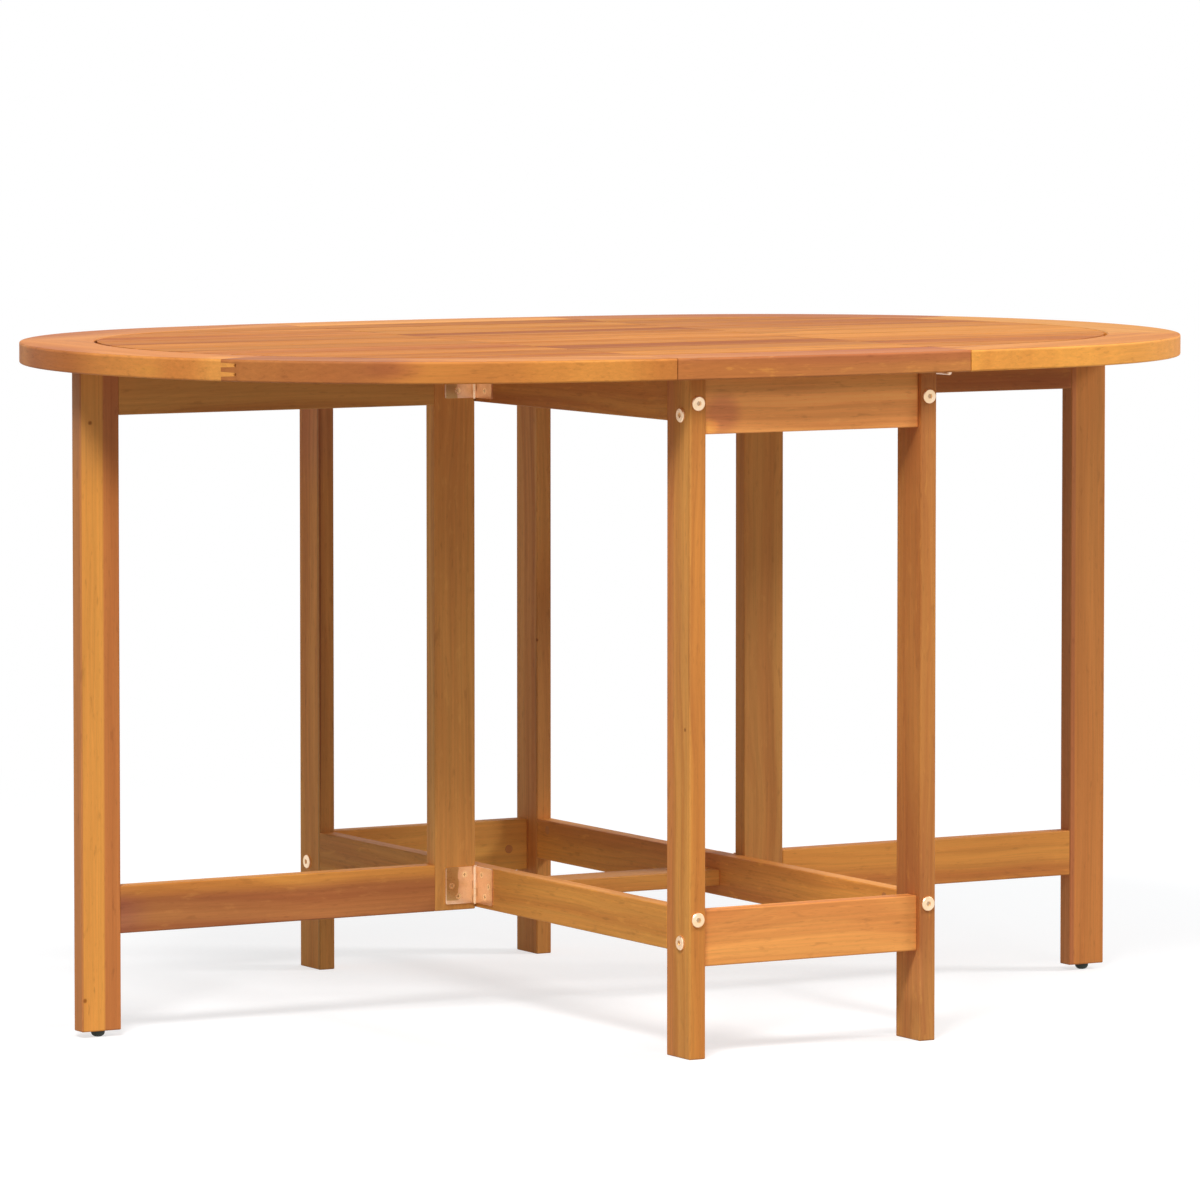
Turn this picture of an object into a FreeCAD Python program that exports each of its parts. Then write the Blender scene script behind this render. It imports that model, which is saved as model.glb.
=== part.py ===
import FreeCAD, Part
import math
import os
import re
import Sketcher
from FreeCAD import Placement, Rotation, Vector

# Folding oval garden table with two gate legs and two drop leaves.
# X runs along the oval, Y across it, Z up, and the origin is on the floor under the middle.
# Pieces are drawn on the left (-X) and at the back (+Y); mirrors and half turns make the others.

os.makedirs("parts", exist_ok=True)
doc = FreeCAD.newDocument("garden_table")
sheet = doc.addObject("Spreadsheet::Sheet", "sheet")

# Driving dimensions, in millimetres and degrees; a name that ends in share is a part of another size.
sizes = {
    "table_height": 750,
    "top_thickness": 23.5,
    "end_overhang": 28,
    "side_overhang": 32.9,
    "corner_radius": 425,
    "end_angle": 23,
    "side_angle": 80.25,
    "rim_width": 82,
    "rim_arris": 2,
    "rim_inner_arris": 1,
    "lip_width": 14,
    "seam_overhang": 29.1,
    "seam_gap": 1.2,
    "slat_thickness": 13,
    "slat_count": 10,
    "slat_gap": 4.6,
    "slat_end_gap": 4,
    "slat_arris": 1,
    "centre_batten_width": 50,
    "leaf_batten_width": 30,
    "middle_batten_share": 0.52,
    "batten_end_gap": 0.5,
    "joint_angle": 29.7,
    "finger_length": 17.5,
    "finger_first_drop": 3.7,
    "finger_height": 5.1,
    "finger_pitch": 9.7,
    "finger_taper": 0.8,
    "finger_tip_gap": 1,
    "leg_thickness": 19.5,
    "leg_width": 48.5,
    "frame_reach_x": 154.5,
    "frame_reach_y": 446.5,
    "board_arris": 1.2,
    "long_rail_tall": 46.5,
    "long_rail_low": 114,
    "end_rail_tall": 60,
    "end_rail_inset": 6,
    "end_rail_low": 98.4,
    "stretcher_width": 48,
    "stretcher_thick": 18,
    "stretcher_rise": 11.5,
    "long_bolt_rise": 35.5,
    "long_bolt_drop": 26.5,
    "end_bolt_rise": 25.4,
    "end_bolt_drop": 39.5,
    "end_bolt_edge": 18.5,
    "bolt_radius": 3,
    "bolt_clear": 0.1,
    "bolt_head_radius": 7.8,
    "bolt_head_tall": 2.4,
    "bolt_head_round": 0.8,
    "socket_radius": 3,
    "socket_deep": 1.6,
    "bolt_into_rail": 36,
    "nut_radius": 5,
    "nut_long": 14,
    "nut_from_end": 25,
    "dowel_radius": 4,
    "dowel_long": 40,
    "dowel_clear": 0.1,
    "dowel_in_long_leg": 20,
    "dowel_in_end_leg": 12,
    "long_dowel_rise": 13,
    "long_dowel_drop": 12.5,
    "end_dowel_rise": 9.6,
    "end_dowel_drop": 12.5,
    "stretcher_dowel_y": 14,
    "fix_screw_share": 0.55,
    "gate_face_y": 22.9,
    "gate_thick": 20,
    "gate_side_gap": 1,
    "gate_top_gap": 0.5,
    "gate_stile_width": 51,
    "gate_leg_width": 47,
    "gate_reach": 643.2,
    "gate_foot": 6.8,
    "gate_rail_drop": 1.8,
    "gate_rail_tall": 51.7,
    "gate_rail_upper_tall": 48.7,
    "tenon_thick": 8,
    "tenon_long": 16,
    "tenon_shoulder": 7,
    "tenon_clear": 0.1,
    "tenon_end_gap": 1,
    "pin_offset": 3,
    "pin_radius": 1.4,
    "pin_clear": 0.05,
    "pin_cap_radius": 2,
    "pin_cap_tall": 1,
    "knuckle_radius": 2.6,
    "knuckle_count": 5,
    "knuckle_gap": 0.2,
    "knuckle_room": 0.3,
    "plate_thick": 1.8,
    "plate_corner": 2.5,
    "plate_edge_gap": 0.5,
    "gate_hinge_tall": 41,
    "gate_hinge_rise": 25.7,
    "gate_hinge_drop": 21.7,
    "gate_hinge_wide": 36.5,
    "leaf_hinge_long": 38,
    "leaf_hinge_wide": 27,
    "leaf_hinge_inset": 38.5,
    "leaf_hinge_inner": 95,
    "screw_near": 12.5,
    "screw_far": 28.5,
    "screw_mid": 20.5,
    "screw_step": 12,
    "leaf_screw_near": 12,
    "leaf_screw_far": 20.5,
    "screw_radius": 1.75,
    "screw_head_radius": 3.6,
    "screw_head_tall": 2,
    "screw_long": 12,
    "screw_clear": 0.05,
    "cross_wide": 0.9,
    "cross_long": 4.2,
    "cross_deep": 1,
    "slat_screw_long": 17.5,
    "slat_screw_inset": 21,
    "fix_screw_radius": 2,
    "fix_head_radius": 4,
    "fix_head_tall": 3,
    "fix_screw_long": 55,
    "fix_into_top": 12,
    "fix_bore_radius": 4.6,
    "glide_radius": 7.7,
    "glide_brim": 1.2,
    "glide_stem_radius": 2.5,
    "glide_stem_long": 14,
    "stop_long": 32,
    "stop_wide": 15,
    "stop_tall": 15,
    "stop_gap": 0.4,
    "stop_inset": 19,
    "over": 5,
}

# Dimensions that follow from the driving ones, as formulas of the same sheet.
following = {
    "top_under": "table_height - top_thickness",
    "top_reach_x": "gate_reach + end_overhang",
    "top_reach_y": "frame_reach_y + side_overhang",
    "seam_place": "frame_reach_x + seam_overhang",
    "end_sin": "sin(end_angle * 1deg)",
    "end_cos": "cos(end_angle * 1deg)",
    "side_sin": "sin(side_angle * 1deg)",
    "side_cos": "cos(side_angle * 1deg)",
    "spare_x": "top_reach_x - corner_radius * (end_cos - side_cos)",
    "spare_y": "top_reach_y - corner_radius * (side_sin - end_sin)",
    "oval_share": "side_cos * end_sin - (1 - end_cos) * (1 - side_sin)",
    "side_radius": "(spare_x * end_sin - spare_y * (1 - end_cos)) / oval_share",
    "end_radius": "(spare_y * side_cos - spare_x * (1 - side_sin)) / oval_share",
    "corner_centre_x": "(side_radius - corner_radius) * side_cos",
    "corner_centre_y": "(end_radius - corner_radius) * end_sin",
    "end_centre": "corner_centre_x - (end_radius - corner_radius) * end_cos",
    "side_centre": "(side_radius - corner_radius) * side_sin - corner_centre_y",
    "slat_under": "table_height - slat_thickness",
    "batten_thickness": "top_thickness - slat_thickness",
    "rail_inner_y": "frame_reach_y - leg_width",
    "rail_inner_x": "frame_reach_x - leg_thickness",
    "long_rail_high": "top_under - long_rail_tall",
    "end_rail_high": "top_under - end_rail_tall",
    "end_rail_outer": "frame_reach_y - end_rail_inset",
    "end_rail_middle": "end_rail_outer - leg_thickness / 2",
    "stretcher_low": "long_rail_low + stretcher_rise",
    "long_bolt_low": "long_rail_low + long_bolt_rise",
    "long_bolt_high": "top_under - long_bolt_drop",
    "end_bolt_low": "end_rail_low + end_bolt_rise",
    "end_bolt_high": "top_under - end_bolt_drop",
    "end_bolt_y": "frame_reach_y - end_bolt_edge",
    "long_dowel_low": "long_rail_low + long_dowel_rise",
    "long_dowel_high": "top_under - long_dowel_drop",
    "end_dowel_low": "end_rail_low + end_dowel_rise",
    "end_dowel_high": "top_under - end_dowel_drop",
    "gate_hinge_low": "long_rail_low + gate_hinge_rise",
    "gate_hinge_high": "top_under - gate_hinge_drop",
    "gate_rail_low": "long_rail_low - gate_rail_drop",
    "leaf_hinge_outer": "frame_reach_y - leaf_hinge_inset",
    "stretcher_middle": "stretcher_low + stretcher_thick / 2",
    "leg_middle_x": "frame_reach_x - leg_thickness / 2",
    "gate_back_y": "gate_face_y + gate_thick",
    "gate_middle_y": "gate_face_y + gate_thick / 2",
    "gate_top": "top_under - gate_top_gap",
    "gate_rail_high": "gate_top - gate_rail_upper_tall",
    "stile_right": "frame_reach_x + gate_side_gap",
    "stile_left": "stile_right + gate_stile_width",
    "gate_leg_right": "gate_reach - gate_leg_width",
    "gate_pin_x": "frame_reach_x + pin_offset",
    "gate_pin_y": "gate_face_y - pin_offset",
    "leaf_pin_z": "top_under - pin_offset",
    "glide_dome": "gate_foot - glide_brim",
}

aliases = [*sizes, *following]
for row, alias in enumerate(aliases, start=1):
    sheet.set(f"A{row}", alias)
    sheet.setAlias(f"B{row}", alias)
    sheet.set(f"B{row}", f"={following[alias]}" if alias in following else str(sizes[alias]))
doc.recompute()


def bound(text):
    """Write an expression for the sheet: every alias in it is given the sheet's name."""
    return re.sub(r"[a-z_]+[a-z]", lambda m: f"sheet.{m.group()}" if m.group() in aliases else m.group(), text)


def val(text):
    """The value that an expression of aliases has now."""
    names = {a: float(getattr(sheet, a)) for a in re.findall(r"[a-z_]+[a-z]", text) if a in aliases}
    for alias in sorted(names, key=len, reverse=True):
        text = re.sub(rf"\b{alias}\b", f"({names[alias]!r})", text)
    return float(FreeCAD.Units.Quantity(text).Value)


def bind(thing, **sizes):
    """Bind properties to expressions; a double underscore stands for a dot."""
    for path, text in sizes.items():
        thing.setExpression(path.replace("__", "."), bound(text))
    return thing


def place(thing, x="0", y="0", z="0"):
    for axis, text in zip("xyz", (x, y, z)):
        thing.setExpression(f".Placement.Base.{axis}", bound(text))
    return thing


def made(kind, name="work", **links):
    """Add an object and set its links."""
    thing = doc.addObject(kind, name)
    for key, value in links.items():
        setattr(thing, key, value)
    return thing


TURNS = {"Z": Rotation(), "X": Rotation(Vector(0, 1, 0), 90), "Y": Rotation(Vector(1, 0, 0), -90)}


def rod(along, radius, length, x="0", y="0", z="0"):
    """A cylinder that starts at x, y, z and runs in +X, +Y or +Z."""
    thing = bind(made("Part::Cylinder", "rod"), Radius=radius, Height=length)
    thing.Placement = Placement(Vector(), TURNS[along])
    return place(thing, x, y, z)


def cone(along, start, end, length, x="0", y="0", z="0"):
    thing = bind(made("Part::Cone", "cone"), Radius1=start, Radius2=end, Height=length)
    thing.Placement = Placement(Vector(), TURNS[along])
    return place(thing, x, y, z)


def block(x, y, z, dx, dy, dz):
    return place(bind(made("Part::Box", "block"), Length=dx, Width=dy, Height=dz), x, y, z)


def group(things):
    return things[0] if len(things) == 1 else made("Part::Compound", "group", Links=list(things))


def fused(things):
    return made("Part::MultiFuse", "fused", Shapes=list(things), Refine=True)


def cut(base, tools):
    return made("Part::Cut", "cut", Base=base, Tool=group(tools))


def common(base, tool):
    return made("Part::Common", "common", Base=base, Tool=tool)


NORMALS = {"X": Vector(1, 0, 0), "Y": Vector(0, 1, 0), "Z": Vector(0, 0, 1)}


def mirror(thing, axis):
    return made("Part::Mirroring", "mirror", Source=thing, Base=Vector(), Normal=NORMALS[axis])


def turned(thing):
    """Half a turn about Z, as two mirrors."""
    return mirror(mirror(thing, "X"), "Y")


def both(things, axis):
    """The things and their mirror images."""
    return list(things) + [mirror(group(things), axis)]


def plane(body, role):
    return [f for f in body.Origin.OriginFeatures if f.Role == role][0]


def sketch_on(body, role, name="outline"):
    sketch = body.newObject("Sketcher::SketchObject", name)
    sketch.AttachmentSupport = (plane(body, role), [""])
    sketch.MapMode = "FlatFace"
    return sketch


def loop(sketch, points, held=()):
    """A closed outline of straight lines; each point is held by two expressions."""
    spots = [Vector(val(x), val(y), 0) for x, y in points]
    first = sketch.GeometryCount
    count = len(spots)
    for n in range(count):
        sketch.addGeometry(Part.LineSegment(spots[n], spots[(n + 1) % count]), False)
    for n in range(count):
        sketch.addConstraint(Sketcher.Constraint("Coincident", first + n, 2, first + (n + 1) % count, 1))
    for n, (x, y) in enumerate(points):
        for kind, text in (("DistanceX", x), ("DistanceY", y)):
            number = sketch.addConstraint(Sketcher.Constraint(kind, -1, 1, first + n, 1, val(text)))
            sketch.setExpression(f"Constraints[{number}]", bound(text))


def board(x, y, z, dx, dy, dz, arris="board_arris"):
    """A planed board with its edges eased: lowest corner, then its size."""
    body = doc.addObject("PartDesign::Body", "board")
    sketch = sketch_on(body, "XY_Plane")
    loop(sketch, [("0", "0"), (dx, "0"), (dx, dy), ("0", dy)])
    pad = bind(body.newObject("PartDesign::Pad", "pad"), Length=dz)
    pad.Profile = sketch
    doc.recompute()
    eased = body.newObject("PartDesign::Fillet", "eased")
    eased.Base = (pad, [f"Edge{n + 1}" for n in range(len(pad.Shape.Edges))])
    bind(eased, Radius=arris)
    body.Tip = eased
    return place(body, x, y, z)


def oval(sketch, inset):
    """The table's oval as eight tangent arcs: two ends, two sides, four corners, all inset alike."""
    end, corner, side = (val(f"{r} - ({inset})") for r in ("end_radius", "corner_radius", "side_radius"))
    cx, cy, ex, sy = (val(a) for a in ("corner_centre_x", "corner_centre_y", "end_centre", "side_centre"))
    low, high, turn = math.radians(val("end_angle")), math.radians(val("side_angle")), math.pi
    arcs = [((ex, 0), end, -low, low), ((cx, cy), corner, low, high), ((0, -sy), side, high, turn - high),
            ((-cx, cy), corner, turn - high, turn - low), ((-ex, 0), end, turn - low, turn + low),
            ((-cx, -cy), corner, turn + low, turn + high), ((0, sy), side, turn + high, 2 * turn - high),
            ((cx, -cy), corner, 2 * turn - high, 2 * turn - low)]
    first = sketch.GeometryCount
    for (x, y), radius, begin, finish in arcs:
        circle = Part.Circle(Vector(x, y, 0), Vector(0, 0, 1), radius)
        sketch.addGeometry(Part.ArcOfCircle(circle, begin, finish), False)
    count = len(arcs)
    for n in range(count):
        sketch.addConstraint(Sketcher.Constraint("Tangent", first + n, 2, first + (n + 1) % count, 1))
    radii = ["end_radius", "corner_radius", "side_radius", "corner_radius"] * 2
    for n, alias in enumerate(radii):
        number = sketch.addConstraint(Sketcher.Constraint("Radius", first + n, val(f"{alias} - ({inset})")))
        sketch.setExpression(f"Constraints[{number}]", bound(f"{alias} - ({inset})"))
    for n, x, y in ((0, "end_centre", "0"), (4, "0 - end_centre", "0"), (2, "0", "0 - side_centre"),
                    (6, "0", "side_centre")):
        for kind, text in (("DistanceX", x), ("DistanceY", y)):
            number = sketch.addConstraint(Sketcher.Constraint(kind, -1, 1, first + n, 3, val(text)))
            sketch.setExpression(f"Constraints[{number}]", bound(text))


def oval_slab(low, tall, *insets):
    """A flat slab with the oval's outline at the first inset, open inside the second."""
    body = doc.addObject("PartDesign::Body", "slab")
    sketch = sketch_on(body, "XY_Plane")
    for inset in insets:
        oval(sketch, inset)
    pad = bind(body.newObject("PartDesign::Pad", "pad"), Length=tall)
    pad.Profile = sketch
    return place(body, z=low)


def edges_at(shape, inset, level):
    """Names of the arc edges of the oval that lie at a level, with a given inset from it."""
    wanted = {round(val(f"{r} - ({inset})"), 3) for r in ("end_radius", "corner_radius", "side_radius")}
    names = []
    for n, edge in enumerate(shape.Edges, start=1):
        flat = {round(edge.BoundBox.ZMin, 3), round(edge.BoundBox.ZMax, 3)} == {round(level, 3)}
        if flat and isinstance(edge.Curve, Part.Circle) and round(edge.Curve.Radius, 3) in wanted:
            names.append(f"Edge{n}")
    return names


def rim_ring():
    """The whole rim before it is cut up: eased outside, with a lip inside that carries the slats."""
    ring = oval_slab("top_under", "top_thickness", "0", "rim_width")
    doc.recompute()
    pad = ring.Tip
    edges = [name for level in (0, val("top_thickness")) for name in edges_at(pad.Shape, "0", level)]
    rounded = ring.newObject("PartDesign::Fillet", "rounded")
    rounded.Base = (pad, edges)
    bind(rounded, Radius="rim_arris")
    ring.Tip = rounded
    doc.recompute()
    eased = ring.newObject("PartDesign::Chamfer", "eased")
    eased.Base = (rounded, edges_at(rounded.Shape, "rim_width", val("top_thickness")))
    bind(eased, Size="rim_inner_arris")
    ring.Tip = eased
    lip = oval_slab("top_under", "batten_thickness", "rim_width - over", "rim_width + lip_width")
    return fused([ring, lip])


def finger_tool(tip):
    """Everything on the end's side of the left back joint, with tapered fingers that reach past it."""
    body = doc.addObject("PartDesign::Body", "fingers")
    sketch = sketch_on(body, "XZ_Plane")
    points = [("0", "0 - over"), ("0 - gate_reach", "0 - over"), ("0 - gate_reach", "top_thickness + over"),
              ("0", "top_thickness + over")]
    for n in range(2):
        high = f"top_thickness - finger_first_drop - {n} * finger_pitch"
        points += [("0", high), (f"finger_length + {tip}", f"{high} - finger_taper"),
                   (f"finger_length + {tip}", f"{high} - finger_height + finger_taper"),
                   ("0", f"{high} - finger_height")]
    loop(sketch, points)
    pad = bind(body.newObject("PartDesign::Pad", "pad"), Length="4 * gate_reach")
    pad.Profile = sketch
    pad.Midplane = True
    turn = Rotation(Vector(0, 0, 1), 90 - val("joint_angle"))
    body.Placement = Placement(Vector(), turn)
    body.setExpression(".Placement.Rotation.Angle", bound("90 - joint_angle"))
    x = "0 - corner_centre_x - corner_radius * cos(joint_angle * 1deg)"
    y = "corner_centre_y + corner_radius * sin(joint_angle * 1deg)"
    return place(body, x, y, "top_under")


def screw(along, sign, x, y, z, long="screw_long", radius="screw_radius", head="screw_head_radius",
          tall="screw_head_tall", spare="0", crossed=True):
    """A countersunk screw with its head's face at x, y, z, driven along +axis or, by sign, against it."""
    at = {"X": x, "Y": y, "Z": z}
    low, high = ("0", "0") if sign > 0 else (long, tall)
    spot = {k: (f"{v} - ({low})" if k == along else v) for k, v in at.items()}
    shank = rod(along, f"{radius} + {spare}", long, spot["X"], spot["Y"], spot["Z"])
    spot = {k: (f"{v} - ({high})" if k == along else v) for k, v in at.items()}
    wide, slim = f"{head} + {spare}", f"{radius} + {spare}"
    ends = (wide, slim) if sign > 0 else (slim, wide)
    solid = fused([shank, cone(along, *ends, tall, spot["X"], spot["Y"], spot["Z"])])
    if not crossed:
        return solid
    bars = []
    first, second = [k for k in "XYZ" if k != along]
    for wide_axis, thin_axis in ((first, second), (second, first)):
        size = {along: "cross_deep", wide_axis: "cross_long", thin_axis: "cross_wide"}
        start = {k: f"{at[k]} - {size[k]} / 2" for k in "XYZ"}
        start[along] = at[along] if sign > 0 else f"{at[along]} - cross_deep"
        bars.append(block(start["X"], start["Y"], start["Z"], size["X"], size["Y"], size["Z"]))
    return cut(solid, bars)


nodes = {}


def node(name, thing):
    """Hold the thing under the name of its piece."""
    thing.Label = name
    nodes[name] = thing
    return thing


SIDES = (("left", 1), ("right", -1))
ENDS = (("front", 1), ("back", 0))


def symmetric(thing, side, end):
    """The left back piece, mirrored to the side and end named."""
    if side == "right":
        thing = mirror(thing, "X")
    return mirror(thing, "Y") if end == "front" else thing


# Bolts, barrel nuts and dowels of one corner of the fixed frame, at the left and the back.
def corner_hardware(spare_bolt="0", spare_dowel="0"):
    """Bolt shanks, heads, nuts and dowels of one corner, each list with its own spare radius."""
    shanks, nuts, dowels = [], [], []
    for level in ("long_bolt_low", "long_bolt_high"):
        long = "(leg_width + bolt_into_rail)"
        shanks.append(rod("Y", f"bolt_radius + {spare_bolt}", long, "0 - leg_middle_x", f"frame_reach_y - {long}",
                          level))
        nuts.append(rod("X", f"nut_radius + {spare_bolt}", "nut_long", "0 - rail_inner_x - nut_long",
                        "rail_inner_y - nut_from_end", level))
    for level in ("end_bolt_low", "end_bolt_high"):
        long = "leg_thickness + bolt_into_rail"
        shanks.append(rod("X", f"bolt_radius + {spare_bolt}", long, "0 - frame_reach_x", "end_bolt_y", level))
        nuts.append(rod("Y", f"nut_radius + {spare_bolt}", "nut_long", "nut_from_end - rail_inner_x",
                        "end_rail_outer - leg_thickness", level))
    for level in ("long_dowel_low", "long_dowel_high"):
        dowels.append(rod("Y", f"dowel_radius + {spare_dowel}", "dowel_long", "0 - leg_middle_x",
                          "rail_inner_y + dowel_in_long_leg - dowel_long", level))
    for level in ("end_dowel_low", "end_dowel_high"):
        dowels.append(rod("X", f"dowel_radius + {spare_dowel}", "dowel_long", "0 - rail_inner_x - dowel_in_end_leg",
                          "end_rail_middle", level))
    return shanks, nuts, dowels


def bolt_heads():
    """Round flat caps with a hexagon socket on the two outer faces of the leg."""
    heads = []
    for along, levels in (("Y", ("long_bolt_low", "long_bolt_high")), ("X", ("end_bolt_low", "end_bolt_high"))):
        for level in levels:
            if along == "Y":
                at, rim, bottom = ("0 - leg_middle_x", "frame_reach_y", level), "bolt_head_tall - bolt_head_round", 1
            else:
                at, rim, bottom = ("0 - frame_reach_x - bolt_head_tall", "end_bolt_y", level), "0", 0
            disc = rod(along, "bolt_head_radius", "bolt_head_tall - bolt_head_round", *at)
            lift = rim if along == "Y" else "bolt_head_round"
            if along == "X":
                disc = place(disc, f"{at[0]} + {lift}", at[1], at[2])
                edge = cone("X", "bolt_head_radius - bolt_head_round", "bolt_head_radius", "bolt_head_round", *at)
                hole = at
            else:
                edge = cone("Y", "bolt_head_radius", "bolt_head_radius - bolt_head_round", "bolt_head_round",
                            at[0], f"{at[1]} + {lift}", at[2])
                hole = (at[0], f"{at[1]} + bolt_head_tall - socket_deep", at[2])
            socket = bind(made("Part::Prism", "socket"), Circumradius="socket_radius", Height="socket_deep")
            socket.Placement = Placement(Vector(), TURNS[along])
            heads.append(cut(fused([disc, edge]), [place(socket, *hole)]))
    return heads


def whole_frame(things):
    """A corner's things, mirrored to all four corners."""
    return group(both(both(things, "X"), "Y"))


shanks, nuts, dowels = corner_hardware()
heads = bolt_heads()
room_shanks, room_nuts, room_dowels = corner_hardware("bolt_clear", "dowel_clear")
corner_room = group(room_shanks + room_nuts + room_dowels)
frame_room = whole_frame([corner_room])


def stretcher_dowel(spare):
    return rod("X", f"dowel_radius + {spare}", "dowel_long", "0 - rail_inner_x - dowel_in_end_leg",
               "stretcher_dowel_y", "stretcher_middle")


stretcher_room = whole_frame([stretcher_dowel("dowel_clear")])


def fix_screw(y, spare="0"):
    """An upright screw from a counterbore in an upper end rail into the fixed rim."""
    low = "top_under + fix_into_top - fix_screw_long"
    tip = rod("Z", f"fix_screw_radius + {spare}", "fix_screw_long", y, "end_rail_middle", low)
    head = rod("Z", f"fix_head_radius + {spare}", "fix_head_tall", y, "end_rail_middle", low)
    return fused([tip, head])


# The nuts are threaded on the bolts, so a nut is cut by the bolt that runs through it.
bolts = [fused([shank, head]) for shank, head in zip(shanks, heads)]
node("connector_bolts", whole_frame(bolts))
node("barrel_nuts", whole_frame([cut(nut, [shank]) for nut, shank in zip(nuts, room_shanks)]))
node("frame_dowels", group([whole_frame(dowels), whole_frame([stretcher_dowel("0")])]))

fix_at = "rail_inner_x * fix_screw_share"
fix_screws = whole_frame([fix_screw(fix_at)])
fix_room = whole_frame([fix_screw(fix_at, "screw_clear")])
bore_tall = "end_rail_tall + fix_into_top - fix_screw_long"
fix_bores = whole_frame([rod("Z", "fix_bore_radius", bore_tall, fix_at, "end_rail_middle", "end_rail_high")])
node("top_fixing_screws", fix_screws)


# Butt hinges: a knuckle tube along the pin, with plates that wrap into it.
def knuckles(long, turn, radius):
    """The alternate knuckles of one half of a hinge that runs along +Z from the origin."""
    each = f"{long} / knuckle_count"
    found = []
    for n in range(turn, int(val("knuckle_count")), 2):
        found.append(rod("Z", radius, f"{each} - knuckle_gap", "0", "0", f"{n} * {each} + knuckle_gap / 2"))
    return found


def hinge_half(long, wide, spots, turn):
    """A hinge plate to -X whose back lies at +Y of the pin, with its screw holes, along +Z."""
    body = doc.addObject("PartDesign::Body", "plate")
    sketch = sketch_on(body, "XZ_Plane")
    inner = "0 - plate_edge_gap"
    loop(sketch, [("0 - " + wide, "0"), (inner, "0"), (inner, long), ("0 - " + wide, long)])
    pad = bind(body.newObject("PartDesign::Pad", "pad"), Length="plate_thick")
    pad.Profile = sketch
    doc.recompute()
    corners = []
    for n, edge in enumerate(pad.Shape.Edges, start=1):
        box = edge.BoundBox
        if round(box.XMax, 3) == round(val("0 - " + wide), 3) and round(box.ZLength, 3) == 0:
            corners.append(f"Edge{n}")
    eased = body.newObject("PartDesign::Fillet", "eased")
    eased.Base = (pad, corners)
    bind(eased, Radius="plate_corner")
    body.Tip = eased
    plate = place(body, y="pin_offset")
    free = knuckles(long, 1 - turn, "knuckle_radius + knuckle_room")
    ends = [rod("Z", "knuckle_radius + knuckle_room", "over", "0", "0", z) for z in ("0 - over", long)]
    solid = fused([cut(plate, free + ends if turn else free)] + knuckles(long, turn, "knuckle_radius"))
    holes = [hinge_screw(long, across, step, "screw_clear", False) for across, step in spots]
    if turn:
        holes.append(rod("Z", "pin_radius + pin_clear", long))
    solid = cut(solid, holes)
    if turn:
        return solid
    caps = [rod("Z", "pin_cap_radius", "pin_cap_tall", "0", "0", z) for z in ("0 - pin_cap_tall", long)]
    return fused([solid, rod("Z", "pin_radius", long)] + caps)


def hinge_screw(long, across, step, spare="0", crossed=True):
    """A screw in a hinge plate: how far it stands from the pin, and how far above the middle."""
    return screw("Y", 1, f"0 - {across}", "pin_offset - plate_thick", f"{long} / 2 + {step}", spare=spare,
                 crossed=crossed)


GATE_SPOTS = (("screw_near", "screw_step"), ("screw_far", "0"), ("screw_mid", "0 - screw_step"))
LEAF_SPOTS = (("leaf_screw_near", "screw_step"), ("leaf_screw_far", "0"), ("leaf_screw_near", "0 - screw_step"))


def settled(thing, rotation, x, y, z):
    """A compound of the thing, turned and then placed."""
    holder = made("Part::Compound", "settled", Links=[thing])
    holder.Placement = Placement(Vector(), rotation)
    return place(holder, x, y, z)


# The gate hinge's moving half lies on the stile's face; its fixed half, mirrored and turned, on the rail.
flat = Rotation()
quarter = Rotation(Vector(0, 0, 1), -90)
moving_half = hinge_half("gate_hinge_tall", "gate_hinge_wide", GATE_SPOTS, 1)
fixed_half = mirror(hinge_half("gate_hinge_tall", "gate_hinge_wide", GATE_SPOTS, 0), "X")
moving_screws = group([hinge_screw("gate_hinge_tall", a, s) for a, s in GATE_SPOTS])
moving_room = group([hinge_screw("gate_hinge_tall", a, s, "screw_clear", False) for a, s in GATE_SPOTS])
fixed_screws, fixed_room = mirror(moving_screws, "X"), mirror(moving_room, "X")


def at_gate_hinges(thing, rotation):
    """The thing at both hinges of the left gate."""
    return [settled(thing, rotation, "0 - gate_pin_x", "gate_pin_y", f"{level} - gate_hinge_tall / 2")
            for level in ("gate_hinge_low", "gate_hinge_high")]


rail_leaves = at_gate_hinges(fixed_half, quarter)
rail_screws = at_gate_hinges(fixed_screws, quarter)
rail_screw_room = group(at_gate_hinges(fixed_room, quarter))
node("gate_hinge_rail_leaves", group(rail_leaves + [turned(group(rail_leaves))]))

# The leaf hinges lie flat under the seams, on the half of each seam that the gate never passes.
level_pin = Rotation(Vector(1, 0, 0), -90)
leaf_moving = hinge_half("leaf_hinge_long", "leaf_hinge_wide", LEAF_SPOTS, 1)
leaf_fixed = mirror(hinge_half("leaf_hinge_long", "leaf_hinge_wide", LEAF_SPOTS, 0), "X")
leaf_screw_set = group([hinge_screw("leaf_hinge_long", a, s) for a, s in LEAF_SPOTS])
leaf_room_set = group([hinge_screw("leaf_hinge_long", a, s, "screw_clear", False) for a, s in LEAF_SPOTS])


def at_leaf_hinges(thing):
    """The thing at both hinges of the left leaf, with the pin along Y and the plates upward."""
    found = []
    for place_y in ("leaf_hinge_outer", "leaf_hinge_inner"):
        upright = made("Part::Compound", "upright", Links=[mirror(thing, "Y")])
        upright.Placement = Placement(Vector(), level_pin)
        found.append(settled(upright, flat, "0 - seam_place", f"{place_y} - leaf_hinge_long / 2", "leaf_pin_z"))
    return found


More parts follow.
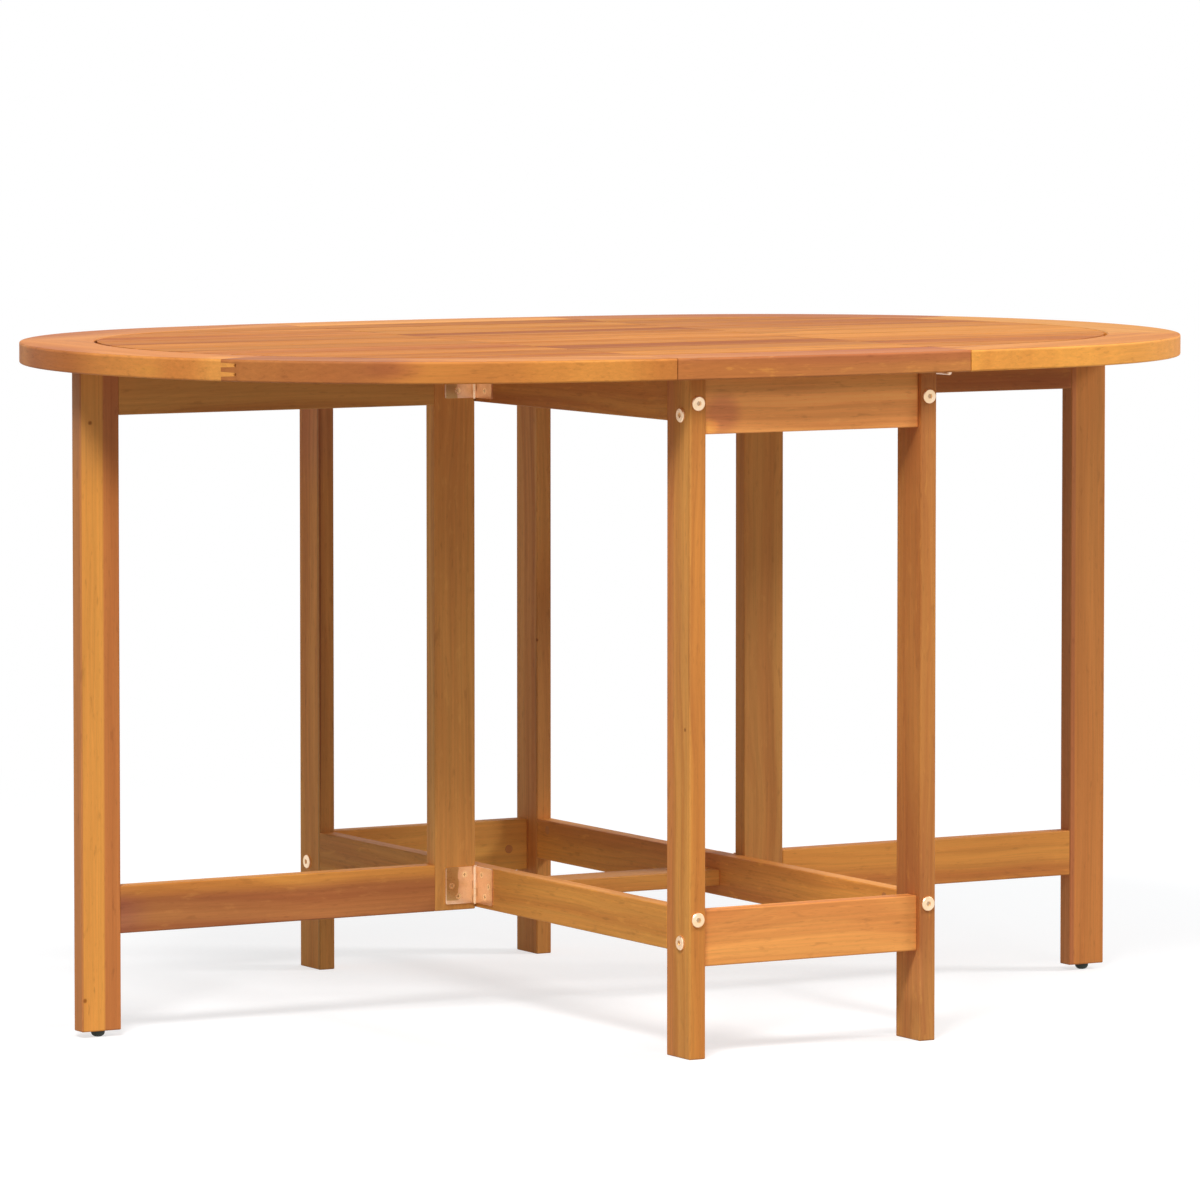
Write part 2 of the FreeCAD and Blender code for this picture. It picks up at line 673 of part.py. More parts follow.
centre_plates = at_leaf_hinges(leaf_fixed)
leaf_plates = group(at_leaf_hinges(leaf_moving))
centre_screws = at_leaf_hinges(mirror(leaf_screw_set, "X"))
centre_screw_room = group(at_leaf_hinges(mirror(leaf_room_set, "X")))
leaf_screws = group(at_leaf_hinges(leaf_screw_set))
leaf_screw_room = group(at_leaf_hinges(leaf_room_set))
centre_room_all = group([centre_screw_room, turned(centre_screw_room)])
node("leaf_hinge_centre_plates", group(centre_plates + [turned(group(centre_plates))]))
frame_screws = group(rail_screws + centre_screws)
node("frame_hinge_screws", group([frame_screws, turned(frame_screws)]))

# Legs and rails of the fixed frame.
leg = board("0 - frame_reach_x", "rail_inner_y", "0", "leg_thickness", "leg_width", "top_under")
leg = cut(leg, [corner_room])
rail_y = "0 - rail_inner_y"
gate_room_all = group([rail_screw_room, turned(rail_screw_room)])
for side, _ in SIDES:
    for end, _ in ENDS:
        node(f"leg_{end}_{side}", symmetric(leg, side, end))
    for level, low in (("upper", "long_rail_high"), ("lower", "long_rail_low")):
        x = "0 - frame_reach_x" if side == "left" else "rail_inner_x"
        rail = board(x, rail_y, low, "leg_thickness", "2 * rail_inner_y", "long_rail_tall")
        tools = [frame_room, gate_room_all] + ([stretcher_room] if level == "lower" else [])
        node(f"side_rail_{level}_{side}", cut(rail, tools))
for end, _ in ENDS:
    for level, low in (("upper", "end_rail_high"), ("lower", "end_rail_low")):
        y = "0 - end_rail_outer" if end == "front" else "end_rail_outer - leg_thickness"
        rail = board("0 - rail_inner_x", y, low, "2 * rail_inner_x", "leg_thickness", "end_rail_tall")
        tools = [frame_room] + ([fix_room, fix_bores] if level == "upper" else [])
        node(f"end_rail_{level}_{end}", cut(rail, tools))
stretcher = board("0 - rail_inner_x", "0 - stretcher_width / 2", "stretcher_low", "2 * rail_inner_x",
                  "stretcher_width", "stretcher_thick")
node("lower_stretcher", cut(stretcher, [stretcher_room]))

# The rim ring, and the spaces that divide it into the fixed strip and the leaves.
ring = rim_ring()
seam_in, seam_out = "seam_place - seam_gap / 2", "seam_place + seam_gap / 2"
centre_space = block(f"0 - ({seam_in})", "0", "0", f"2 * ({seam_in})", "gate_reach", "2 * table_height")
leaf_space = block("0 - 2 * gate_reach", "0 - gate_reach", "0", f"2 * gate_reach - ({seam_out})",
                   "2 * gate_reach", "2 * table_height")
back_space = block("0 - 2 * gate_reach", "0", "0", "4 * gate_reach", "gate_reach", "2 * table_height")
leaf_ring = common(ring, leaf_space)
end_tool, end_room = finger_tool("0"), finger_tool("finger_tip_gap")
rim_end = common(common(leaf_ring, end_tool), mirror(end_tool, "Y"))
rim_side = cut(common(leaf_ring, back_space), [end_room])
rim_centre = common(ring, centre_space)

# Slats run along the oval over the lip and the battens; the oval trims them.
field = oval_slab("slat_under", "slat_thickness", "rim_width + slat_end_gap")
pitch = "(2 * (top_reach_y - rim_width - slat_end_gap) + slat_gap) / slat_count"
slats = []
for n in range(int(val("slat_count"))):
    y = f"({n} - slat_count / 2) * {pitch} + slat_gap / 2"
    slats.append(board("0 - gate_reach", y, "slat_under", "2 * gate_reach", f"{pitch} - slat_gap",
                       "slat_thickness", "slat_arris"))
field_slats = common(group(slats), field)
strip = block(f"0 - ({seam_in})", "0 - gate_reach", "0", f"2 * ({seam_in})", "2 * gate_reach",
              "2 * table_height")
slat_middles = [f"({n} - (slat_count - 1) / 2) * {pitch}" for n in range(int(val("slat_count")))]


def batten(x, wide):
    """A flat bar under the slats, across the table, from lip to lip; x is its left edge."""
    inside = oval_slab("top_under", "batten_thickness", "rim_width + lip_width + batten_end_gap")
    bar = board(x, "0 - gate_reach", "top_under", wide, "2 * gate_reach", "batten_thickness")
    return common(bar, inside)


def slat_screw_row(x, ys, spare="0", crossed=True):
    """Screws up through a batten, one in the middle of each slat that it carries."""
    return group([screw("Z", 1, x, y, "top_under", "slat_screw_long", spare=spare, crossed=crossed)
                  for y in ys])


centre_row = f"0 - ({seam_in}) + slat_screw_inset"
centre_rows = slat_screw_row(centre_row, slat_middles)
centre_row_room = slat_screw_row(centre_row, slat_middles, "screw_clear", False)
centre_rows_room = group(both([centre_row_room], "X"))
node("centre_slat_screws", group(both([centre_rows], "X")))
node("centre_slats", cut(common(field_slats, strip), [centre_rows_room]))
centre_batten = batten(f"0 - ({seam_in})", "centre_batten_width")
for side, _ in SIDES:
    base = centre_batten if side == "left" else mirror(centre_batten, "X")
    node(f"centre_batten_{side}", cut(base, [centre_rows_room, centre_room_all]))
for end, _ in ENDS:
    base = rim_centre if end == "back" else mirror(rim_centre, "Y")
    node(f"centre_rim_{end}", cut(base, [centre_room_all, fix_room]))

# Leaves: the left one is built, and half a turn makes the right one.
seam_row = f"0 - ({seam_out}) - leaf_batten_width / 2"
middle_x = "0 - top_reach_x * middle_batten_share"
middle_row = f"{middle_x} + leaf_batten_width / 2"
leaf_rows = ((seam_row, slat_middles), (middle_row, slat_middles[1:-1]))
leaf_screw_rows = group([slat_screw_row(x, ys) for x, ys in leaf_rows])
leaf_row_room = group([slat_screw_row(x, ys, "screw_clear", False) for x, ys in leaf_rows])
stop = board("0 - gate_reach + stop_inset", "gate_back_y + stop_gap", "top_under - stop_tall", "stop_long", "stop_wide",
             "stop_tall")
leaf = {
    "rim_back": cut(rim_side, [leaf_screw_room]),
    "rim_front": mirror(rim_side, "Y"),
    "rim_end": rim_end,
    "slats": cut(common(field_slats, leaf_space), [leaf_row_room]),
    "seam_batten": cut(batten(f"0 - ({seam_out}) - leaf_batten_width", "leaf_batten_width"),
                       [leaf_row_room, leaf_screw_room]),
    "middle_batten": cut(batten(middle_x, "leaf_batten_width"), [leaf_row_room]),
    "slat_screws": leaf_screw_rows,
    "hinge_plates": leaf_plates,
    "hinge_screws": leaf_screws,
    "gate_stop": stop,
}

# Gates: two uprights and two rails with tenons, on the left; half a turn makes the right one.
tenon_y = "gate_middle_y - tenon_thick / 2"


def tenons(low, tall, spare):
    """The tongues of a gate rail, on its two ends, with room for them in the uprights."""
    wide = f"gate_leg_right - stile_left + 2 * (tenon_long + {spare} * tenon_end_gap / tenon_clear)"
    x = f"0 - gate_leg_right - tenon_long - {spare} * tenon_end_gap / tenon_clear"
    return block(x, f"{tenon_y} - {spare}", f"{low} + tenon_shoulder - {spare}", wide,
                 f"tenon_thick + 2 * {spare}", f"{tall} - 2 * tenon_shoulder + 2 * {spare}")


rails = {"lower": ("gate_rail_low", "gate_rail_tall"), "upper": ("gate_rail_high", "gate_rail_upper_tall")}
mortises = [tenons(low, f"({tall})", "tenon_clear") for low, tall in rails.values()]
screw_room = at_gate_hinges(moving_room, flat)
stem_room = rod("Z", "glide_stem_radius + dowel_clear", "gate_foot + glide_stem_long + tenon_end_gap",
                "0 - gate_reach + gate_leg_width / 2", "gate_middle_y", "0")
gate = {
    "leg": cut(board("0 - gate_reach", "gate_face_y", "gate_foot", "gate_leg_width", "gate_thick",
                     "gate_top - gate_foot"), mortises + [stem_room]),
    "stile": cut(board("0 - stile_left", "gate_face_y", "gate_rail_low", "gate_stile_width", "gate_thick",
                       "gate_top - gate_rail_low"), mortises + screw_room),
    "hinge_leaves": group(at_gate_hinges(moving_half, flat)),
    "hinge_screws": group(at_gate_hinges(moving_screws, flat)),
}
for level, (low, tall) in rails.items():
    body = board("0 - gate_leg_right", "gate_face_y", low, "gate_leg_right - stile_left", "gate_thick", tall)
    gate[f"rail_{level}"] = fused([body, tenons(low, f"({tall})", "0")])


def glide():
    """A domed plastic foot with a stem that is driven into the leg's end."""
    body = doc.addObject("PartDesign::Body", "glide")
    sketch = sketch_on(body, "XZ_Plane")
    loop(sketch, [("0", "0"), ("glide_radius", "0"), ("glide_radius", "gate_foot"),
                  ("glide_stem_radius", "gate_foot"), ("glide_stem_radius", "gate_foot + glide_stem_long"),
                  ("0", "gate_foot + glide_stem_long")])
    turn = body.newObject("PartDesign::Revolution", "turned")
    turn.Profile = sketch
    turn.ReferenceAxis = (sketch, ["V_Axis"])
    doc.recompute()
    lowest = [f"Edge{n}" for n, edge in enumerate(turn.Shape.Edges, start=1)
              if round(edge.BoundBox.ZMax, 3) == 0]
    dome = body.newObject("PartDesign::Fillet", "dome")
    dome.Base = (turn, lowest)
    bind(dome, Radius="glide_dome")
    body.Tip = dome
    return place(body, "0 - gate_reach + gate_leg_width / 2", "gate_middle_y", "0")


gate["glide"] = glide()
other_end = {"rim_back": "rim_front", "rim_front": "rim_back"}
for prefix, pieces in (("leaf", leaf), ("gate", gate)):
    for name, thing in pieces.items():
        node(f"left_{prefix}_{name}", thing)
        node(f"right_{prefix}_{other_end.get(name, name)}", turned(thing))

doc.recompute()
faults = [f"{thing.Label}: {thing.State}" for thing in doc.Objects
          if "Invalid" in thing.State or "Error" in thing.State]
for name, thing in nodes.items():
    if thing.Shape.isNull() or not thing.Shape.isValid() or thing.Shape.Volume <= 0:
        faults.append(f"{name}: bad shape")
if faults:
    raise RuntimeError("; ".join(faults[:12]))
for name, thing in nodes.items():
    thing.Shape.exportStep(f"parts/{name}.step")
    print(name, len(thing.Shape.Solids), round(thing.Shape.Volume), thing.Shape.BoundBox)
print(len(nodes), "nodes")
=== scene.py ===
# %% [markdown]
# # A folding oval garden table in oiled hardwood
# The table is already modelled as solids: legs, rails, gates, leaves, slats and fittings.
# This lesson dresses them and leaves their shapes alone. Every board gets wood whose grain
# runs the way the board was sawn, and every fitting gets its plating. Sizes are in metres.
# X runs along the oval, Y across it, Z is up, and the middle of the floor is zero.

# %% Load the table
import math
import bpy
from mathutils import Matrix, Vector


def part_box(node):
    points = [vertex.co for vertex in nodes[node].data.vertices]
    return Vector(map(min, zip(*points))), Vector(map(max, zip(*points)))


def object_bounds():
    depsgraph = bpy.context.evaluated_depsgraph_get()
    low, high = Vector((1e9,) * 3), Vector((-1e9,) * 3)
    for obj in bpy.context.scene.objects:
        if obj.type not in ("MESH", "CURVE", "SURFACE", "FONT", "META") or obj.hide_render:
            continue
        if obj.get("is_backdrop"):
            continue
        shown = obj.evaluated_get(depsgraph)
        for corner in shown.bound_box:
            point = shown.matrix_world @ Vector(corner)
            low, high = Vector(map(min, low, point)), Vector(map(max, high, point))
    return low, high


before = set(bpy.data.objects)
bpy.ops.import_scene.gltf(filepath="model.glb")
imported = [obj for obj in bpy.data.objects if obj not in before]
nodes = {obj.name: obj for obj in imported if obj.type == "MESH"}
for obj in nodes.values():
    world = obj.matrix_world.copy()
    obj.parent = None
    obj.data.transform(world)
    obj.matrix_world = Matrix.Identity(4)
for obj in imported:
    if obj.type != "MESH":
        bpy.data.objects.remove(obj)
cad_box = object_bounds()
print("pieces of the table:", len(nodes))


# %% [markdown]
# ## Shader maths as plain expressions
# A material in Blender is a network of nodes. It could be wired link by link, but forty
# nodes are hard to read that way. Here a socket is wrapped in a small class, so that the
# network is written as a formula: `a * 3 + b` adds the Math nodes by itself. Every other
# node comes from one method that takes its type, its settings and its inputs.

# %% Sockets with operators
class Value:
    """A shader socket; arithmetic on it adds Math nodes."""

    def __init__(self, graph, socket):
        self.graph, self.socket = graph, socket

    def math(self, operation, *others):
        settings = {"operation": operation}
        return self.graph.node("ShaderNodeMath", settings, dict(enumerate((self,) + others)))[0]

    def __add__(self, other):
        return self.math("ADD", other)

    __radd__ = __add__

    def __mul__(self, other):
        return self.math("MULTIPLY", other)

    __rmul__ = __mul__

    def __sub__(self, other):
        return self.math("SUBTRACT", other)

    def __rsub__(self, other):
        return self * -1 + other

    def __truediv__(self, other):
        return self.math("DIVIDE", other)

    def __pow__(self, other):
        return self.math("POWER", other)

    def between(self, low, high):
        """0 below low, 1 above high, and an S-shaped rise from one to the other."""
        settings = {"interpolation_type": "SMOOTHSTEP"}
        sockets = {"Value": self, "From Min": low, "From Max": high}
        return self.graph.node("ShaderNodeMapRange", settings, sockets)[0]


# %% A graph of nodes
class Outputs(list):
    """A node's outputs, by number or by name."""

    def __init__(self, values, named):
        super().__init__(values)
        self.named = named

    def __getitem__(self, key):
        return self.named[key] if isinstance(key, str) else super().__getitem__(key)


class Graph:
    """The nodes of one material, or of the world."""

    def __init__(self, owner):
        owner.use_nodes = True
        self.owner, self.tree = owner, owner.node_tree
        self.tree.nodes.clear()

    def node(self, kind, settings=None, sockets=None):
        """Add a node, first its settings and then its inputs, and give its outputs."""
        made = self.tree.nodes.new(kind)
        for name, value in (settings or {}).items():
            setattr(made, name, value)
        for name, value in (sockets or {}).items():
            if isinstance(value, Value):
                self.tree.links.new(value.socket, made.inputs[name])
            else:
                made.inputs[name].default_value = value
        outputs = [Value(self, s) for s in made.outputs]
        return Outputs(outputs, {s.name: v for s, v in zip(made.outputs, outputs)})

    def close(self, shader):
        """Send a shader to the output, which ends the graph; gives the material or world."""
        kind = "World" if isinstance(self.owner, bpy.types.World) else "Material"
        self.node("ShaderNodeOutput" + kind, None, {"Surface": shader})
        return self.owner

    def surface(self, **sockets):
        """Close the graph with a Principled shader; an underscore stands for a space."""
        named = {name.replace("_", " "): value for name, value in sockets.items()}
        return self.close(self.node("ShaderNodeBsdfPrincipled", None, named)[0])

    def place(self):
        """Where a point lies on the table, in metres."""
        return self.node("ShaderNodeTexCoord")["Object"]

    def parts(self, vector):
        """The three numbers of a vector."""
        return self.node("ShaderNodeSeparateXYZ", None, {0: vector})

    def vector(self, x, y, z):
        return self.node("ShaderNodeCombineXYZ", None, {0: x, 1: y, 2: z})[0]

    def mix(self, amount, a, b, blend="MIX"):
        settings = {"data_type": "RGBA", "blend_type": blend, "clamp_factor": True}
        return self.node("ShaderNodeMix", settings, {0: amount, 6: a, 7: b})[2]

    def multiply(self, amount, colour, factor):
        """A colour times a factor for red, green and blue, as far as the amount says."""
        return self.mix(amount, colour, (*factor, 1.0), "MULTIPLY")

    def noise(self, where, scale=1.0, detail=2.0, rough=0.5):
        sockets = {"Vector": where, "Scale": scale, "Detail": detail, "Roughness": rough}
        return self.node("ShaderNodeTexNoise", None, sockets)[0]

    def bump(self, height, strength, distance, **more):
        sockets = {"Strength": strength, "Distance": distance, "Height": height, **more}
        return self.node("ShaderNodeBump", None, sockets)[0]


def new_material(name):
    return Graph(bpy.data.materials.new(name))


# %% [markdown]
# ## Colours
# Colours are easiest to choose as they look on a screen, from 0 to 255, but shaders reckon
# in linear light. One function turns the first into the second, so that every colour below
# can be written as it looks.

# %% Paints
def paint(red, green, blue):
    """A screen colour as linear light: ((c + 0.055) / 1.055) to the power 2.4, c from 0 to 1."""
    parts = [c / 255 for c in (red, green, blue)]
    linear = [p / 12.92 if p <= 0.04045 else ((p + 0.055) / 1.055) ** 2.4 for p in parts]
    return (*linear, 1.0)


def tinted(colour, tint):
    """A colour with its red, green and blue each scaled."""
    return tuple(c * t for c, t in zip(colour, tint)) + (1.0,)


WHITE = (1.0, 1.0, 1.0, 1.0)
GOLD = paint(232, 154, 76)
HONEY = paint(205, 124, 60)
BROWN = paint(120, 64, 34)
RED = paint(176, 96, 58)
print("honey in linear light:", [round(c, 3) for c in HONEY])


# %% [markdown]
# ## Oiled wood
# A real board is sawn from a trunk, so its grain is the trunk's growth rings seen on a flat
# face. A picture of wood could be wrapped round each board, but it would repeat, and it
# wouldn't run on over a corner as real grain does. So the shader does what the tree does:
# it measures the distance from an imagined pith that lies beside the board, lets that
# distance wander a little, and reads bands of colour from it.

# %% Places on a board
QUARTER = math.pi / 2
TURN = {"X": (0.0, 0.0, 0.0), "Y": (0.0, 0.0, -QUARTER), "Z": (0.0, QUARTER, 0.0)}


def from_middle(g, centre, along, turn):
    """A point's place on a board: as it is, from the board's middle, and turned to its grain.

    The middle is taken off the point. The rest is turned until the grain's direction, which
    is an axis turned round Z by an angle, becomes the first of the three numbers.
    """
    spot = g.place()
    place = g.node("ShaderNodeVectorMath", {"operation": "SUBTRACT"}, {0: spot, 1: centre})[0]
    spin = (TURN[along][0], TURN[along][1], TURN[along][2] - turn)
    turned = g.node("ShaderNodeMapping", None, {"Vector": place, "Rotation": spin})[0]
    return spot, place, g.parts(turned)


# %% [markdown]
# ## Textures that run with the grain
# Wood shows bands and fine lines that follow the growth rings, and fibres, pores and short
# ticks that run along the board. Each is the same noise with its own stretch: it changes
# quickly across the grain and slowly along it. The table below gives how often each changes
# in a metre, so a finer or a coarser wood only needs other numbers.

# %% How finely each texture changes
# Along the grain, across it, and the noise's detail and roughness.
WANDER = (2.4, 5.0, 2.0, 0.5)
CLOUD = (2.6, 14.0, 2.0, 0.5)
FIBRE = (26.0, 950.0, 2.0, 0.6)
PORE = (85.0, 1100.0, 1.0, 0.5)
TICK = (42.0, 170.0, 3.0, 0.5)
THREAD = (4.0, 340.0, 2.0, 0.6)
# Along the grain, and the detail and roughness, of those that follow the rings.
BAND = (1.1, 3.0, 0.55)
FINE_LINE = (3.0, 2.0, 0.6)
BROAD_BAND = (0.9, 1.0, 0.5)
LINES_PER_BAND = 5.5
BROAD_BANDS = 24.0
WANDERING = 0.03
print("pores lie about", round(1000 / PORE[1], 2), "mm apart across the grain")


# %% The grain of one board
class Grain:
    """The textures of one board, read at u along the grain and at v and w across it.

    The ring at a point is its distance from the pith (a, b), the root of
    (v - a)^2 + (w - b)^2, plus a slow wander. own shifts every texture, so that no two
    boards are alike. pores are only the peaks of their noise, and streak is bands with
    more contrast.
    """

    def __init__(self, g, u, v, w, own, pith, rings):
        self.g, self.u, self.v, self.w, self.own = g, u, v, w, own
        wander = self.stretched(*WANDER)
        self.ring = ((v - pith[0]) ** 2.0 + (w - pith[1]) ** 2.0) ** 0.5 + wander * WANDERING
        self.bands = self.ringed(rings, *BAND)
        self.fine = self.ringed(rings * LINES_PER_BAND, *FINE_LINE)
        self.broad = self.ringed(BROAD_BANDS, *BROAD_BAND)
        self.cloud = self.stretched(*CLOUD)
        self.fibre = self.stretched(*FIBRE)
        self.pores = self.stretched(*PORE).between(0.62, 0.74)
        self.ticks = self.stretched(*TICK)
        self.thread = self.stretched(*THREAD)
        self.streak = self.bands.between(0.3, 0.72)

    def stretched(self, along, across, detail, rough):
        """Noise at (u * along, v * across, w * across)."""
        where = self.g.vector(self.u * along + self.own, self.v * across, self.w * across)
        return self.g.noise(where, 1.0, detail, rough)

    def ringed(self, across, along, detail, rough):
        """Noise at (u * along, ring * across)."""
        where = self.g.vector(self.u * along + self.own, self.ring * across, self.own)
        return self.g.noise(where, 1.0, detail, rough)


# %% [markdown]
# ## Colour from the grain
# Oiled hardwood goes from pale sapwood to red heartwood, with brown lines between the rings
# and dark pores. The colour is laid on as a painter would, each layer mixed over the last by
# one of the textures, because each layer can then be made stronger or weaker by itself.

# %% The colour of a board
def oiled(g, grain, tint, red, gold, lines):
    """Honey and gold by the bands, then sapwood, heartwood, fine lines, ticks and pores.

    The numbers given to `between` are where a layer starts to show and where it shows in
    full, and the number that it is then multiplied by is how strong it is.
    """
    light, middling, dark, warm = [tinted(c, tint) for c in (GOLD, HONEY, BROWN, RED)]
    cloudy = grain.cloud * 0.35
    colour = g.mix(grain.streak, middling, light)
    colour = g.mix((grain.broad + cloudy + gold).between(0.85, 1.45) * 0.75, colour, light)
    colour = g.mix((grain.broad * -1.0 + cloudy + 0.55 + red).between(0.42, 1.0) * 0.8, colour, warm)
    colour = g.mix(grain.fine.between(0.45, 0.8) * lines * 0.55, colour, dark)
    colour = g.mix(grain.ticks.between(0.58, 0.75) * 0.4, colour, light)
    colour = g.mix((1.0 - grain.ticks).between(0.6, 0.75) * 0.22, colour, dark)
    return g.mix(grain.pores * 0.16, colour, dark)


# %% [markdown]
# ## Stains and knots
# Some boards have a darker strip, a reddish patch or a small knot, and these are what makes
# one table's boards its own. Each could be a mask painted by hand. Here it is an ellipsoid
# given by its middle and its reach, which multiplies the colour inside and fades out with
# an edge that the grain makes ragged. The same ellipsoids also paint shade and light on
# some boards: painted shade under the table top and painted light lower down.

# %% Marks on a board
# What a knot multiplies its board's red, green and blue by.
KNOT = (0.5, 0.38, 0.3)


def farness(g, spot, middle, reach):
    """How far a point is from a mark's middle, counted in reaches: 1 where the mark ends."""
    away = g.node("ShaderNodeVectorMath", {"operation": "SUBTRACT"}, {0: spot, 1: middle})[0]
    away = g.node("ShaderNodeVectorMath", {"operation": "DIVIDE"}, {0: away, 1: reach})[0]
    return g.node("ShaderNodeVectorMath", {"operation": "LENGTH"}, {0: away})["Value"]


def marked(g, grain, spot, colour, stains, knots):
    """The colour with its stains and painted shading (middle, reach, factor, softness) and knots (middle,
    radius).
    """
    for middle, reach, factor, softness in stains:
        ragged = (grain.cloud * 0.6 + grain.bands * 0.4 - 0.5) * softness
        far = farness(g, spot, middle, reach) + ragged
        colour = g.multiply(1.0 - far.between(1.0 - softness, 1.0 + softness), colour, factor)
    for middle, radius in knots:
        far = farness(g, spot, middle, (radius,) * 3) + (grain.fibre - 0.5) * 0.5
        colour = g.multiply(1.0 - far.between(0.4, 1.3), colour, KNOT)
    return colour


# %% [markdown]
# ## Eased edges
# No board on a real table has a razor's edge: each is rounded by a millimetre or two, and
# hands rub the oil off there. A bevel would change the mesh, which is to stay as it is, so
# the rounding is a bump: near an edge the surface seems to fall away, and catches the light.
# The pale edge in the colour is partly that wear and partly a painted highlight.

# %% Rounding, rubbing and painted highlights
EASE = 0.0016
# What the pale edges multiply red, green and blue by: wear and a painted highlight at an
# eased edge, and a painted highlight on the rim's lip.
EDGE_WEAR_AND_HIGHLIGHT = (1.24, 1.3, 1.36)
LIP_HIGHLIGHT = (1.25, 1.3, 1.45)
print("edges are eased by", EASE * 1000, "mm")


def eased(depths):
    """How far, in metres, a surface has dropped near its edges.

    Each depth is how deep a point lies below one pair of faces. Where it is less than EASE,
    the surface has dropped by (EASE - depth)^2 / (2 EASE).
    """
    drop = 0.0
    for depth in depths:
        near = (EASE - depth).math("MAXIMUM", 0.0)
        drop = near * near * (0.5 / EASE) + drop
    return drop


def lip_highlight(g, grain, spot, colour, top):
    """A painted highlight: a pale line 1 to 3 mm below the height of a rim's upper edge."""
    height = g.parts(spot)[2]
    line = height.between(top - 0.0032, top - 0.0022) - height.between(top - 0.0012, top - 0.0004)
    return g.multiply(line * (grain.ticks * 0.6 + 0.4), colour, LIP_HIGHLIGHT)


def worn_and_highlit_edges(g, grain, place, colour, bump, halves):
    """The colour made pale at a board's edges, partly wear and partly a painted highlight, and
    the bump that rounds them.

    Any face lies on one of the pairs, which drops it by half of EASE all over, so that much
    is taken off first. At an edge a second pair adds as much again. The paleness starts at a
    tenth of that, is full at eight tenths, and is stronger in some clouds of the grain.
    """
    drop = eased([half - axis.math("ABSOLUTE") for half, axis in zip(halves, g.parts(place))])
    # Pale edges: wear, and a painted highlight where light would catch the rounding.
    worn = (drop / (0.5 * EASE) - 1.0).between(0.1, 0.8) * (grain.cloud.between(0.38, 0.62) * 0.7 + 0.15)
    return g.multiply(worn, colour, EDGE_WEAR_AND_HIGHLIGHT), g.bump(drop * -1.0, 1.0, 1.0, Normal=bump)


# %% [markdown]
# ## Rows of slats
# The slats of the top are ten boards in one piece. Painting them as one board would let the
# grain run across the gaps. Giving each its own material would need them apart. So the
# shader counts the rows itself, and a random number drawn from a row's number gives each
# slat its own grain, its own share of red and gold, and its own tone.

# %% One row after another
def slat_row(g, v, pitch, seed):
    """A slat's shift of the grain, place across and three random numbers.

    The row is v / pitch rounded down, and the place across is counted from its middle.
    """
    row = (v / pitch).math("FLOOR")
    drawn = g.node("ShaderNodeTexWhiteNoise", {"noise_dimensions": "1D"}, {"W": row + seed})
    chances = g.node("ShaderNodeSeparateColor", None, {0: drawn[1]})
    return drawn[0] * 7.0 + seed, v - (row + 0.5) * pitch, chances


# %% The wood of one board
def wood(name, centre, along="X", turn=0.0, seed=0.0, tint=(1.0, 1.0, 1.0), red=0.3, gold=0.5,
         pith=(0.05, 0.03), rings=95.0, lines=0.26, stains=(), knots=(), slat_pitch=None,
         halves=None, lip=None, gloss=0.16):
    """Oiled hardwood for one board, or for a row of slats where slat_pitch is given.

    tint scales the board's colours; red and gold say how much of it is heartwood or sapwood.
    rings is how many growth bands pass in a metre, and lines how dark the fine ones are.
    halves are half the board's sizes along X, Y and Z, where its edges are eased and made pale.
    lip is the height of a rim's upper edge, where a painted highlight runs, and gloss how
    strongly the oil shines.
    """
    g = new_material(name)
    spot, place, (u, v, w) = from_middle(g, centre, along, turn)
    own, tone = seed, 1.0
    if slat_pitch:
        own, v, (reds, golds, dull) = slat_row(g, v, slat_pitch, seed)
        # A slat may have up to 0.22 less or 0.26 more red, 0.3 less or more gold, and 9 % of tone.
        red = reds * 0.48 + red - 0.22
        gold = golds * 0.6 + gold - 0.3
        tone = dull * 0.18 + 0.91
    grain = Grain(g, u, v, w, own, pith, rings)
    colour = oiled(g, grain, tint, red, gold, lines)
    colour = marked(g, grain, spot, colour, stains, knots)
    # A painted highlight along the rim's upper edge.
    if lip:
        colour = lip_highlight(g, grain, spot, colour, lip)
    # Fibres and fine lines stand up and pores lie deep, by well under half a millimetre.
    bump = g.bump(grain.fibre * 0.5 + grain.fine * 0.3 - grain.pores * 0.5, 0.12, 0.0004)
    if halves:
        colour, bump = worn_and_highlit_edges(g, grain, place, colour, bump, halves)
    # Fibres and threads make the tone a little darker or paler, about 1 on the whole.
    shade = (grain.fibre * 0.12 + grain.thread * 0.34 + 0.77) * tone
    even = g.node("ShaderNodeCombineColor", None, {0: shade, 1: shade, 2: shade})[0]
    colour = g.mix(1.0, colour, even, "MULTIPLY")
    rough = 0.54 + grain.fibre * 0.1 + grain.pores * 0.12 - grain.streak * 0.05
    return g.surface(Base_Color=colour, Roughness=rough, Normal=bump, Specular_IOR_Level=gloss)


# %% [markdown]
# ## Every board gets its own wood
# Two boards from one trunk are never alike. The same material could be worn by all of them,
# but then the table would look cast in one piece. So each board has its own seed, its own
# share of red heartwood and pale sapwood, its own pith, and a tint. A tint is three factors,
# for red, green and blue. The boards that are seen first also have their stains and knots.

# %% Putting a material on a piece
def middle(name):
    """The middle of a piece's box: the mean of its lowest and its highest corner."""
    low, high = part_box(name)
    return tuple((a + b) / 2 for a, b in zip(low, high))


def wear(name, material):
    """Give a piece one material."""
    mesh = nodes[name].data
    mesh.materials.clear()
    mesh.materials.append(material)


print("middle of the front rim:", [round(c, 3) for c in middle("centre_rim_front")])
